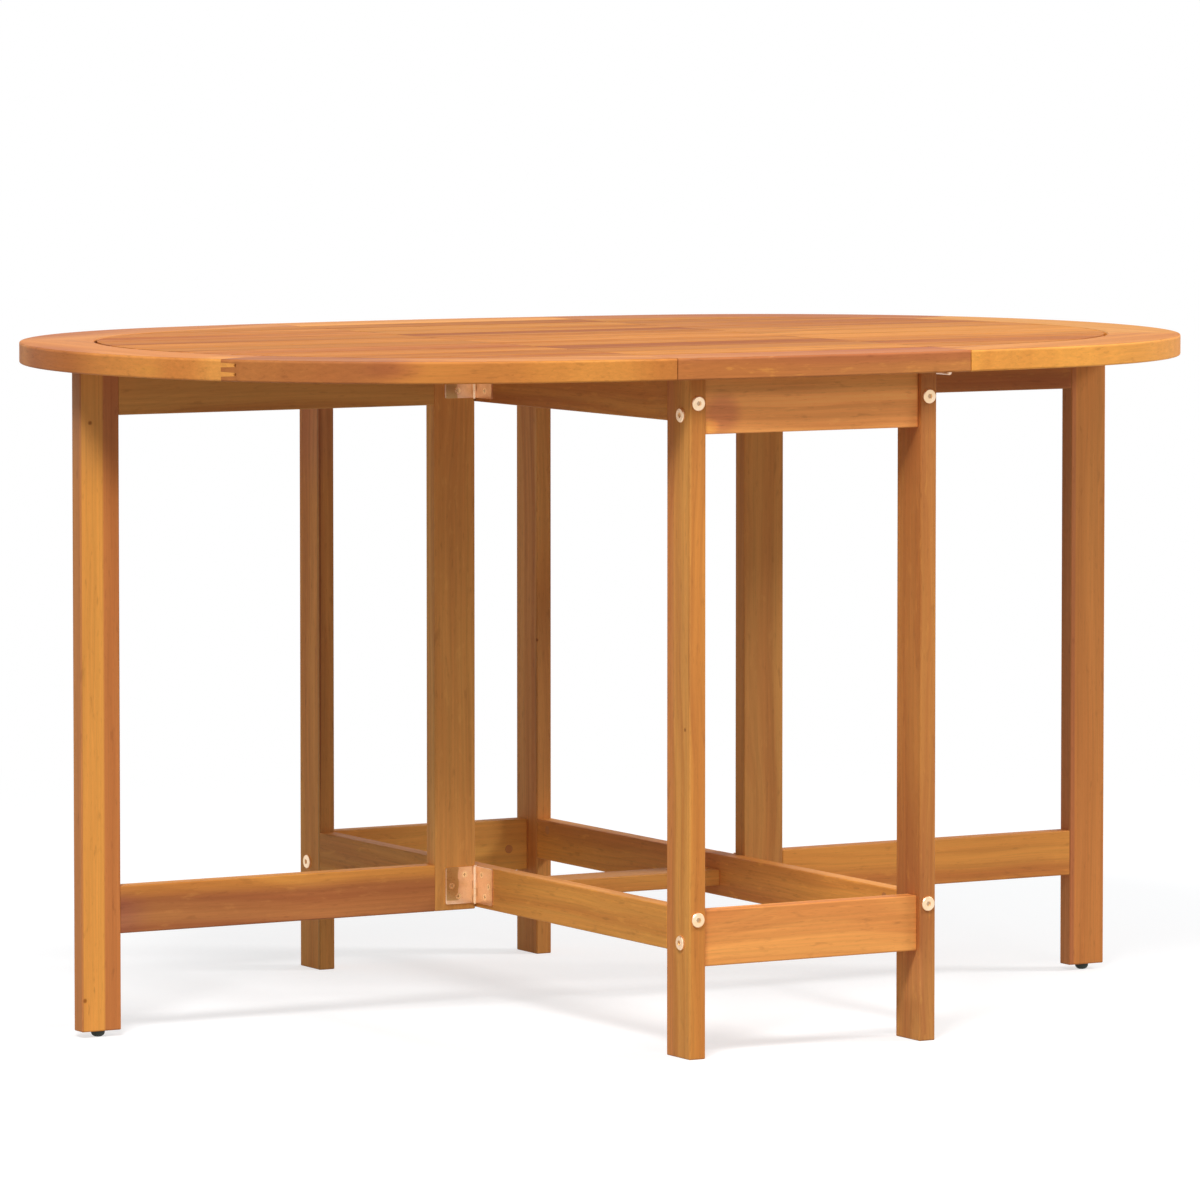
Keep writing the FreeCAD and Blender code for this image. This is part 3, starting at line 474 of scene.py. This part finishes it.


# %% [markdown]
# ## The stains, painted shade and painted light of the legs and rails
# One face of a leg may have had more sun than the next, an end may come from near a branch,
# and a strip of sapwood often stays along one side. Some entries are not the wood's colour:
# a darker top under the table top is painted shade, and a paler foot or lower part is painted
# light. A reach of WHOLE takes in a board from end to end, and one of THROUGH takes in its
# thickness.

# %% Stains and painted shading, each a middle, a reach, a factor and a softness
WHOLE = 3.0
THROUGH = 0.5
LEFT_GATE_LEG = [
    ((-0.597, 0.033, 0.37), (0.019, THROUGH, WHOLE), (0.70, 0.56, 0.76), 0.1),
    ((-0.645, 0.033, 0.37), (0.0035, THROUGH, WHOLE), (0.73, 0.64, 0.92), 0.2),
    # The last two are painted light at the foot and painted shade at the top, under the table top.
    ((-0.62, 0.033, 0.03), (THROUGH, THROUGH, 0.32), (1.1, 1.1, 1.12), 0.6),
    ((-0.62, 0.033, 0.73), (THROUGH, THROUGH, 0.1), (0.8, 0.86, 1.1), 0.5)]
RIGHT_GATE_LEG = [
    ((0.596, -0.033, 0.37), (0.0065, THROUGH, WHOLE), (0.85, 0.78, 1.05), 0.15),
    ((0.5955, -0.033, 0.37), (0.0012, THROUGH, WHOLE), (1.05, 1.28, 1.26), 0.2),
    # Painted shade: the top is darker, under the table top.
    ((0.62, -0.033, 0.8), (THROUGH, THROUGH, 0.4), (0.81, 0.85, 0.83), 0.5)]
LEFT_GATE_RAIL = [
    ((-0.4, 0.033, 0.178), (WHOLE, THROUGH, 0.026), (1.45, 1.62, 1.1), 0.3),
    ((-0.62, 0.033, 0.13), (0.05, THROUGH, 0.03), (0.85, 0.78, 1.2), 0.5)]
LEG_FRONT_LEFT = [
    ((-0.1565, -0.42, 0.37), (0.0035, THROUGH, WHOLE), (1.08, 1.2, 1.3), 0.2),
    ((-0.1545, -0.398, 0.37), (0.05, 0.015, WHOLE), (0.94, 0.83, 1.0), 0.3),
    ((-0.1445, -0.446, 0.37), (THROUGH, 0.004, WHOLE), (0.96, 0.91, 0.89), 0.3),
    # Painted shade: the top is darker, under the table top.
    ((-0.1445, -0.42, 0.72), (THROUGH, THROUGH, 0.12), (0.9, 0.91, 0.97), 0.5)]
LEG_FRONT_RIGHT = [
    # Both are painted light: the foot is paler where the lower rail casts shade on it.
    ((0.1445, -0.42, 0.0), (THROUGH, THROUGH, 0.1), (1.18, 1.34, 1.34), 0.4),
    ((0.1345, -0.42, 0.072), (0.004, THROUGH, 0.028), (1.2, 1.25, 1.3), 0.4)]
LEG_BACK_LEFT = [
    ((-0.1445, 0.398, 0.37), (THROUGH, 0.004, WHOLE), (0.78, 0.87, 1.02), 0.3),
    # Painted shade: darker near the top, under the table top.
    ((-0.1545, 0.417, 0.66), (0.05, 0.05, 0.08), (0.88, 0.84, 1.08), 0.6),
    ((-0.1531, 0.398, 0.4), (0.0011, 0.02, 0.25), (0.6, 0.5, 0.5), 0.3)]
LEG_BACK_RIGHT = [
    # Painted shade on the face's lower middle and painted light higher up, evening out how light falls.
    ((0.1445, 0.398, 0.31), (THROUGH, 0.004, 0.12), (0.78, 0.8, 0.88), 0.4),
    ((0.1445, 0.398, 0.6), (THROUGH, 0.004, 0.13), (1.05, 1.2, 1.35), 0.4)]
FRONT_RAIL = [
    # The first two are painted shade along the top, under the rim, and painted light below it.
    ((0.0, -0.44, 0.732), (WHOLE, 0.1, 0.022), (0.88, 0.92, 0.86), 0.25),
    ((0.0, -0.44, 0.682), (WHOLE, 0.1, 0.024), (1.16, 1.14, 1.15), 0.3),
    ((-0.111, -0.44, 0.689), (0.02, 0.1, 0.02), (0.78, 0.67, 0.84), 0.5),
    ((-0.126, -0.44, 0.675), (0.01, 0.1, 0.007), (1.25, 1.35, 1.1), 0.4)]

# %% [markdown]
# ## The stains and painted shading of the rim
# The rim is what the eye follows round the oval. Its boards are joined by fingers whose
# ends show as small dark marks, and its top has another tone than its edge: painted light
# on the middle strip's top, and painted shade on the leaves' tops. That tone is a very flat
# stain at the top's height.

# %% Stains and painted shading of the rim
TOP = 0.75
LEFT_RIM_END = [
    ((-0.672, 0.05, 0.74), (0.03, 0.1, 0.2), (0.75, 0.62, 0.56), 0.5),
    ((-0.585, -0.235, 0.74), (0.036, 0.036, 0.2), (1.12, 1.28, 1.3), 0.35),
    ((-0.63, -0.14, 0.735), (0.02, 0.03, 0.008), (1.0, 1.12, 0.9), 0.5)]
LEFT_RIM_FRONT = [
    ((-0.55, -0.30, 0.74), (0.10, 0.10, 0.2), (0.71, 0.65, 0.86), 0.35),
    ((-0.47, -0.37, 0.742), (0.03, 0.03, 0.012), (0.74, 0.62, 0.85), 0.6),
    ((-0.43, -0.39, 0.745), (0.014, 0.014, 0.006), (0.8, 0.6, 0.6), 0.6)]
CENTRE_RIM_FRONT = [
    ((0.16, -0.46, 0.748), (0.22, 0.2, 0.009), (0.88, 0.76, 0.9), 0.6),
    ((-0.14, -0.46, 0.735), (0.1, 0.2, 0.012), (1.12, 1.16, 1.0), 0.6)]
FINGER_TIPS = [((x, y, z), 0.0017)
               for x in (-0.5997, 0.5997) for y in (-0.2594, 0.2594) for z in (0.734, 0.7438)]
# Painted light and shade on the top faces: lighter on the middle strip, darker on the leaves.
TOP_TONES = {"left": (0.95, 0.92, 0.92), "centre": (1.14, 1.18, 1.15), "right": (0.8, 0.71, 0.68)}


def painted_top_shading(name):
    """The painted light and shade of a rim board's top face, by the part of the table that the board is in."""
    return ((0.0, 0.0, TOP + 0.0015), (WHOLE, WHOLE, 0.0022), TOP_TONES[name.split("_")[0]], 0.1)


# %% [markdown]
# ## The list of boards
# The looks of the boards are a table, one line for each, because that is the quickest place
# to change one board and leave the rest alone. The boards of the two gates and the two
# leaves come in pairs, so a loop writes their lines, and a second table tints them singly.

# %% Frame and middle strip
boards = {
    "leg_front_left": dict(along="Z", seed=1.3, tint=(0.93, 0.95, 0.84), red=0.1, gold=0.35,
                           pith=(0.03, 0.06), stains=LEG_FRONT_LEFT,
                           knots=[((-0.1545, -0.4363, 0.3523), 0.0022)]),
    "leg_front_right": dict(along="Z", seed=2.1, tint=(0.83, 0.87, 0.86), red=0.3, gold=0.3,
                            pith=(-0.02, 0.05), stains=LEG_FRONT_RIGHT),
    "leg_back_left": dict(along="Z", seed=3.7, tint=(1.07, 1.11, 1.12), red=0.25, gold=0.2,
                          pith=(0.04, -0.05), stains=LEG_BACK_LEFT),
    "leg_back_right": dict(along="Z", seed=4.9, tint=(0.96, 1.04, 1.15), red=0.2, gold=0.3,
                           pith=(0.05, 0.05), stains=LEG_BACK_RIGHT,
                           knots=[((0.1354, 0.398, 0.3723), 0.002)]),
    "side_rail_upper_left": dict(along="Y", seed=5.3, tint=(0.9, 1.0, 0.95), red=0.35, gold=0.2),
    "side_rail_upper_right": dict(along="Y", seed=6.1, tint=(0.9, 1.0, 0.95), red=0.3, gold=0.2),
    "side_rail_lower_left": dict(along="Y", seed=7.7, tint=(1.06, 1.2, 1.05), red=0.2, gold=0.3),
    "side_rail_lower_right": dict(along="Y", seed=8.3, tint=(1.15, 1.28, 1.1), red=0.35, gold=0.3),
    # Its tint is raised as painted light, on a rail that lies in the rim's shade.
    "end_rail_upper_front": dict(along="X", seed=9.1, tint=(1.24, 1.34, 1.6), red=0.3, gold=0.25,
                                 stains=FRONT_RAIL),
    "end_rail_upper_back": dict(along="X", seed=10.9, tint=(0.95, 1.05, 1.0), red=0.3, gold=0.2),
    "end_rail_lower_front": dict(along="X", seed=11.3, tint=(1.17, 1.22, 1.34), red=0.15, gold=0.4),
    "end_rail_lower_back": dict(along="X", seed=12.7, tint=(1.14, 1.42, 1.4), red=0.2, gold=0.3),
    "lower_stretcher": dict(along="X", seed=13.9, tint=(0.92, 1.02, 1.0), red=0.1, gold=0.5),
    "centre_batten_left": dict(along="Y", seed=14.3),
    "centre_batten_right": dict(along="Y", seed=15.1),
    "centre_rim_front": dict(along="X", seed=16.7, tint=(0.93, 0.98, 0.92), red=0.45, gold=0.2,
                             stains=CENTRE_RIM_FRONT),
    "centre_rim_back": dict(along="X", seed=17.3, tint=(0.95, 0.95, 0.9), red=0.4, gold=0.3),
}
print("boards of the frame and the middle strip:", len(boards))

# %% Gates and leaves
# The front and back rim boards of a leaf run at this angle to X, in radians.
RIM_TURN = 0.487
SHIFTS = {"left": 20.0, "right": 40.0}
for side, sign in (("left", -1), ("right", 1)):
    shift, turn = SHIFTS[side], sign * RIM_TURN
    boards.update({
        f"{side}_gate_leg": dict(along="Z", seed=shift + 1.1, red=0.1, gold=0.6, pith=(0.04, 0.03)),
        f"{side}_gate_stile": dict(along="Z", seed=shift + 2.3, red=0.15, gold=0.2),
        f"{side}_gate_rail_upper": dict(along="X", seed=shift + 3.7, red=0.3, gold=0.2),
        f"{side}_gate_rail_lower": dict(along="X", seed=shift + 4.1, red=0.35, gold=0.3),
        f"{side}_leaf_seam_batten": dict(along="Y", seed=shift + 5.9),
        f"{side}_leaf_middle_batten": dict(along="Y", seed=shift + 6.3),
        f"{side}_leaf_gate_stop": dict(along="X", seed=shift + 7.1),
        f"{side}_leaf_rim_front": dict(along="X", turn=turn, seed=shift + 8.3, red=0.3, gold=0.4),
        f"{side}_leaf_rim_back": dict(along="X", turn=-turn, seed=shift + 9.7, red=0.4, gold=0.3),
        f"{side}_leaf_rim_end": dict(along="Y", seed=shift + 10.9, red=0.2, gold=0.5),
    })
single = {
    "left_gate_leg": dict(tint=(1.06, 1.14, 0.98), stains=LEFT_GATE_LEG,
                          knots=[((-0.631, 0.0229, 0.6698), 0.0025),
                                 ((-0.6399, 0.0229, 0.0412), 0.0025)]),
    "left_gate_stile": dict(tint=(1.03, 1.26, 1.4)),
    "left_gate_rail_upper": dict(tint=(0.76, 0.92, 1.05)),
    "left_gate_rail_lower": dict(tint=(0.74, 0.74, 0.92), stains=LEFT_GATE_RAIL),
    "left_leaf_rim_front": dict(tint=(0.9, 0.87, 0.73), stains=LEFT_RIM_FRONT),
    "left_leaf_rim_end": dict(tint=(0.93, 0.87, 0.82), stains=LEFT_RIM_END),
    "right_gate_leg": dict(tint=(0.91, 0.84, 0.93), stains=RIGHT_GATE_LEG),
    "right_gate_stile": dict(tint=(0.86, 1.0, 1.14)),
    "right_gate_rail_upper": dict(tint=(0.75, 0.8, 0.9)),
    "right_gate_rail_lower": dict(tint=(1.1, 1.14, 1.02)),
    "right_leaf_rim_front": dict(tint=(1.14, 1.22, 0.95)),
    "right_leaf_rim_end": dict(tint=(1.17, 1.4, 1.22)),
}
for name, look in single.items():
    boards[name].update(look)
print("boards in all:", len(boards))


# %% [markdown]
# ## Making the boards' materials
# The rim boards are wider and smoother than the rest, sawn far from the pith, so their rings
# are broad and their lines faint. They follow the oval, so only their upper edge gets a pale
# line, a painted highlight. The other boards are straight, and their edges are eased all round.

# %% One material for each board
RIM_WOOD = dict(rings=28.0, lines=0.15, pith=(0.4, 0.02), lip=TOP)
for name, look in boards.items():
    if "rim" in name:
        stains = [*look.pop("stains", ()), painted_top_shading(name)]
        look.update(RIM_WOOD, stains=stains, knots=FINGER_TIPS if "leaf" in name else ())
    else:
        look["halves"] = [(b - a) / 2 for a, b in zip(*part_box(name))]
    wear(name, wood(name + "_wood", middle(name), **look))
print("materials so far:", len(bpy.data.materials))

# %% [markdown]
# ## The slats
# Ten slats fill each part of the top. They lie flat under the sun and the rain, so they are
# duller than the frame and their lines are stronger. The distance from one slat to the next
# is measured from the middle strip: its width and one gap, divided by ten.

# %% Slats
SLATS, SLAT_GAP = 10, 0.0046
SLAT_WOOD = dict(along="X", tint=(0.89, 0.88, 0.83), lines=0.95, gloss=0.03, gold=0.4, red=0.34,
                 pith=(0.02, 0.05))
low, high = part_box("centre_slats")
slat_pitch = (high[1] - low[1] + SLAT_GAP) / SLATS
for name, seed in (("centre_slats", 61.0), ("left_leaf_slats", 83.0), ("right_leaf_slats", 29.0)):
    across, _, up = middle(name)
    wear(name, wood(name + "_wood", (across, 0.0, up), seed=seed, slat_pitch=slat_pitch, **SLAT_WOOD))
print("from slat to slat in mm:", round(slat_pitch * 1000, 2))


# %% [markdown]
# ## Plated fittings
# The hinges and bolts are plated, in a warm copper and a pale gold. A metal's colour sits in
# its base colour, so one could stop there, but plating that has been outdoors is never even.
# Brushing and handling show as small changes of roughness, and the plating dulls in clouds.
# On the gates' hinges the far end of the plate has a painted olive reflection, and its edge
# a painted highlight.

# %% Plating
# The dulled and yellowed clouds are the plating's own; the olive is a painted reflection.
DULLED, YELLOWED, OLIVE_REFLECTION = (0.8, 0.76, 0.7), (0.8, 0.72, 0.5), (0.54, 0.48, 0.25)
# A painted highlight along the edge of the gates' hinge plates.
EDGE_HIGHLIGHT = paint(255, 232, 200)


def painted_reflection(g, colour, worn, cloud, start, edge, foot):
    """A painted olive reflection where |x| is over start but not below the foot, and a painted highlight at the
    edge.
    """
    across, _, up = g.parts(g.place())
    outer = across.math("ABSOLUTE")
    # The olive is a painted reflection, and the pale line at the plate's edge a painted highlight.
    dull = (outer + (cloud - 0.5) * 0.006).between(start, start + 0.002) * up.between(foot, foot + 0.002)
    worn = g.mix(dull * 0.85, worn, tinted(colour, OLIVE_REFLECTION))
    return g.mix(outer.between(edge - 0.0014, edge - 0.0008) * 0.8, worn, EDGE_HIGHLIGHT)


# %% [markdown]
# ## Painted shade in the recesses
# A screw or bolt has a recess for its key, where shade gathers. The recess is in the mesh
# already, but at this size little light tells it apart. So the colour is darkened, a painted
# shade, wherever a point lies below the head's flat face and close to the middle of a head.

# %% Recesses
# The colour of the painted shade in the recesses.
RECESS_SHADE = paint(120, 76, 44)


def recess(g, axis, face, inwards, across, spots, reach):
    """1 inside the recesses of a row of heads whose flat faces lie at `face` along an axis.

    A point counts when it is more than 0.3 mm below the face and within `reach` of an axis
    line; spots are those lines' places, across and up. Mirrored rows are folded together by
    taking the places without their signs. inwards is 1 or -1, the way into the wood.
    """
    parts = g.parts(g.place())
    out, side, up = parts[axis].math("ABSOLUTE"), parts[across].math("ABSOLUTE"), parts[2]
    inside = 0.0
    for at, height in spots:
        far = ((side - at) ** 2.0 + (up - height) ** 2.0) ** 0.5
        inside = (1.0 - far.between(reach * 0.9, reach)).math("MAXIMUM", inside)
    depth = (out - face) * inwards
    return inside * depth.between(0.0002, 0.0004)


def plated(name, colour, rough, brush=(900.0,) * 3, metallic=0.95, recesses=(), reflection=None):
    """A plated metal whose brushing is noise stretched by `brush`, with painted shade in its recesses and a
    painted olive reflection.
    """
    g = new_material(name)
    place = g.place()
    stretched = g.node("ShaderNodeMapping", None, {"Vector": place, "Scale": brush})[0]
    lines = g.noise(stretched, 1.0, 3.0, 0.6)
    spots = g.noise(place, 260.0, 3.0, 0.6)
    cloud = g.noise(place, 60.0, 1.0)
    worn = g.mix(spots.between(0.45, 0.75) * 0.3, colour, tinted(colour, DULLED))
    worn = g.mix(cloud.between(0.45, 0.6) * 0.35, worn, tinted(colour, YELLOWED))
    if reflection:
        worn = painted_reflection(g, colour, worn, cloud, *reflection)
    for marks in recesses:
        # Painted shade in the recesses of the heads.
        worn = g.mix(recess(g, *marks) * 0.55, worn, RECESS_SHADE)
    return g.surface(Base_Color=worn, Metallic=metallic - spots * 0.1, Normal=g.bump(lines, 0.1, 0.0001),
                     Roughness=rough + lines * 0.16 + spots * 0.08 - 0.1)


# %% Where the heads are
# Each row has its axis, its face, the way in, the axis across, its places and its reach.
X, Y = 0, 1
BOLT_RECESSES = [(Y, 0.4489, -1.0, X, [(0.1448, 0.1495), (0.1448, 0.7)], 0.0025),
                 (X, 0.1569, -1.0, Y, [(0.428, 0.1238), (0.428, 0.687)], 0.0025)]
HEIGHTS = (0.1277, 0.1397, 0.1517, 0.6928, 0.7048, 0.7168)
ON_GATES = (0.178, 0.186, 0.170) * 2
ON_RAILS = (0.0006, 0.0086, 0.0074) * 2
GATE_RECESSES = [(Y, 0.0211, 1.0, X, list(zip(ON_GATES, HEIGHTS)), 0.0016)]
RAIL_RECESSES = [(X, 0.1563, -1.0, Y, list(zip(ON_RAILS, HEIGHTS)), 0.0016)]
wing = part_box("left_gate_hinge_leaves")[0]
# Where the painted olive reflection starts, where the plate ends, and 3 mm over the plate's foot.
REFLECTION_PATCH = (0.1772, -wing[0], wing[2] + 0.003)
print("the gate hinges reach out to x =", round(wing[0], 4))

# %% Fittings and their plating
PALE, SCREW, COPPER = paint(255, 224, 188), paint(255, 230, 192), paint(252, 210, 171)
copper = plated("copper_plating", COPPER, 0.28, (300.0, 300.0, 2600.0), 0.88, reflection=REFLECTION_PATCH)
pale_gold = plated("pale_gold_plating", PALE, 0.32, recesses=BOLT_RECESSES)
gate_gold = plated("gate_screw_plating", SCREW, 0.2, recesses=GATE_RECESSES)
rail_gold = plated("rail_screw_plating", SCREW, 0.2, recesses=RAIL_RECESSES)
bright_gold = plated("bright_gold_plating", paint(255, 226, 200), 0.32)
bronze = plated("bronze_plating", paint(204, 132, 66), 0.55, metallic=0.1)
zinc = plated("zinc_plating", paint(196, 194, 188), 0.38, metallic=0.9)
# The first words found in a name decide, so the screws of a hinge come before the hinge itself.
fittings = [("gate_hinge_screws", gate_gold), ("frame_hinge_screws", rail_gold),
            ("hinge_screws", pale_gold), ("connector_bolts", pale_gold), ("leaf_hinge", bright_gold),
            ("hinge", copper), ("barrel_nuts", bronze), ("top_fixing_screws", zinc),
            ("slat_screws", zinc)]
for name in nodes:
    for words, plating in fittings:
        if words in name:
            wear(name, plating)
            print(name, "wears", plating.name)
            break

# %% [markdown]
# ## Dowels and glides
# The dowels are beech, a plain pale wood, and hidden in the joints. The glides under the
# gates' legs are black plastic. Plastic that is dragged over stone is scuffed, so its colour
# and its roughness follow the same fine noise as its bump.

# %% Beech and plastic
# How many times brighter the scuffed plastic is.
SCUFF = 1.8
wear("frame_dowels", wood("dowel_beech", middle("frame_dowels"), seed=3.3, tint=(1.05, 1.1, 1.2),
                          red=0.0, gold=0.8))


def rubbed_plastic(name, colour):
    """Plastic whose raised grain is paler and rougher."""
    g = new_material(name)
    grain = g.noise(g.place(), 1500.0, 2.0)
    tint = g.mix(grain.between(0.3, 0.8), colour, tinted(colour, (SCUFF,) * 3))
    return g.surface(Base_Color=tint, Roughness=0.5 + grain * 0.2, Normal=g.bump(grain, 0.2, 0.0002))


glide_black = rubbed_plastic("glide_plastic", paint(22, 30, 18))
for side in ("left", "right"):
    wear(f"{side}_gate_glide", glide_black)
print("pieces without a material:", [n for n in nodes if not nodes[n].data.materials])


# %% [markdown]
# ## Floor
# The table stands on a pale floor that keeps its shadow and fades to white. More light would
# whiten the floor too, but it would bleach the wood with it. So the floor is a middling grey
# that gives off a little light of its own, and further out is plain white, both only to rays
# that come from the camera or from a gloss: the light on the table stays as it is.

# %% Floor
# Half its side in metres, its grey, its own light, and where it fades to white, in metres.
HALF_SIDE = 40.0
GREY = (0.45, 0.45, 0.45, 1.0)
LIFT = 0.62
FADE = (0.9, 2.6)


def seen_directly(g):
    """1 for rays from the camera or from a glossy surface, 0 for light that bounces."""
    path = g.node("ShaderNodeLightPath")
    return path["Is Camera Ray"].math("MAXIMUM", path["Is Glossy Ray"])


corners = [(x * HALF_SIDE, y * HALF_SIDE, 0) for x, y in ((-1, -1), (1, -1), (1, 1), (-1, 1))]
mesh = bpy.data.meshes.new("floor")
mesh.from_pydata(corners, [], [(0, 1, 2, 3)])
floor = bpy.data.objects.new("floor", mesh)
bpy.context.scene.collection.objects.link(floor)
g = new_material("floor_white")
seen = seen_directly(g)
away = g.node("ShaderNodeVectorMath", {"operation": "LENGTH"}, {0: g.place()})["Value"]
matt = g.node("ShaderNodeBsdfPrincipled", None, {"Base Color": GREY, "Roughness": 0.9})[0]
lift = g.node("ShaderNodeEmission", None, {"Color": WHITE, "Strength": seen * LIFT})[0]
white = g.node("ShaderNodeEmission", None, {"Color": WHITE, "Strength": 1.0})[0]
near = g.node("ShaderNodeAddShader", None, {0: matt, 1: lift})[0]
fade = away.between(*FADE) * seen
mesh.materials.append(g.close(g.node("ShaderNodeMixShader", None, {0: fade, 1: near, 2: white})[0]))
floor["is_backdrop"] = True
print("the floor is white from", FADE[1], "m outwards")


# %% [markdown]
# ## World and lamps
# A sky of soft, slightly blue light fills the shadows, while the camera and the metals see
# plain white. Three square lamps give the boards their form: the key from the left front and
# high up, so that the top shades the upper ends of the legs, a fill from the right, and a
# weak one from the front. Large lamps far away give soft shadows.

# %% World
SKY_BLUE, SKY_STRENGTH = (0.93, 1.0, 1.06, 1.0), 0.34
g = Graph(bpy.data.worlds.new("studio"))
soft = g.node("ShaderNodeBackground", None, {"Color": SKY_BLUE, "Strength": SKY_STRENGTH})[0]
clear = g.node("ShaderNodeBackground", None, {"Color": WHITE, "Strength": 1.0})[0]
sky = g.node("ShaderNodeMixShader", None, {0: seen_directly(g), 1: soft, 2: clear})[0]
bpy.context.scene.world = g.close(sky)
print("sky strength:", SKY_STRENGTH)

# %% Lamps
TARGET = Vector((0.0, 0.0, 0.4))
DISTANCE = 6.0


def lamp(name, turn, rise, size, watts):
    """A square lamp that faces the table.

    It stands at the angle `turn` from the front towards the left, raised by the angle `rise`:
    (-sin turn cos rise, -cos turn cos rise, sin rise) times its distance from the target.
    """
    turn, rise = math.radians(turn), math.radians(rise)
    flat, up = DISTANCE * math.cos(rise), DISTANCE * math.sin(rise)
    light = bpy.data.lights.new(name, "AREA")
    light.shape, light.size, light.energy = "SQUARE", size, watts
    thing = bpy.data.objects.new(name, light)
    thing.location = (-flat * math.sin(turn), -flat * math.cos(turn), TARGET.z + up)
    thing.rotation_euler = (TARGET - thing.location).to_track_quat("-Z", "Y").to_euler()
    bpy.context.scene.collection.objects.link(thing)
    print(name, "stands at", [round(c, 2) for c in thing.location])


lamp("key_lamp", 43.0, 48.0, 1.4, 244.0)
lamp("fill_lamp", -65.0, 32.0, 1.2, 168.0)
lamp("front_lamp", 5.0, 30.0, 1.2, 24.0)


# %% [markdown]
# ## Camera
# Furniture looks best through a long lens from well back, where the legs stay upright and
# the oval keeps its form. The table sits a little above the middle of the frame. Tilting the
# camera down for that would make the legs lean, so its lens is shifted instead.

# %% Camera
# The picture's side and the row that the lens points at, in pixels.
FRAME = 1200.0
AXIS_ROW = 437.45
# Worked out from the table's feet, straight edges and rim: millimetres, metres and degrees.
SENSOR, LENS = 36.0, 223.98
PLACE = (-4.1716, -7.2410, 1.14014)
TILT, PAN = 3.45, 29.90
camera = bpy.data.cameras.new("camera")
camera.sensor_width = SENSOR
camera.lens = LENS
camera.shift_y = (AXIS_ROW - FRAME / 2) / FRAME
camera.clip_end = 200.0
eye = bpy.data.objects.new("camera", camera)
eye.location = PLACE
eye.rotation_euler = (math.radians(90.0 - TILT), 0.0, math.radians(-PAN))
bpy.context.scene.collection.objects.link(eye)
bpy.context.scene.camera = eye
bpy.context.scene.view_settings.view_transform = "Standard"
print("the camera is", round(eye.location.length, 2), "m from the table's foot")

# %% [markdown]
# ## Finish
# The table's box is measured once more. It has to be what it was when the solids were
# loaded, because dressing them changes no size. Both boxes are kept side by side, and the
# scene's size is printed.

# %% Measure and finish
boxes = {"cad": [list(map(float, c)) for c in cad_box], "scene": [list(map(float, c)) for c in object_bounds()]}
print("size in mm:", [round((b - a) * 1000, 1) for a, b in zip(*boxes["scene"])])
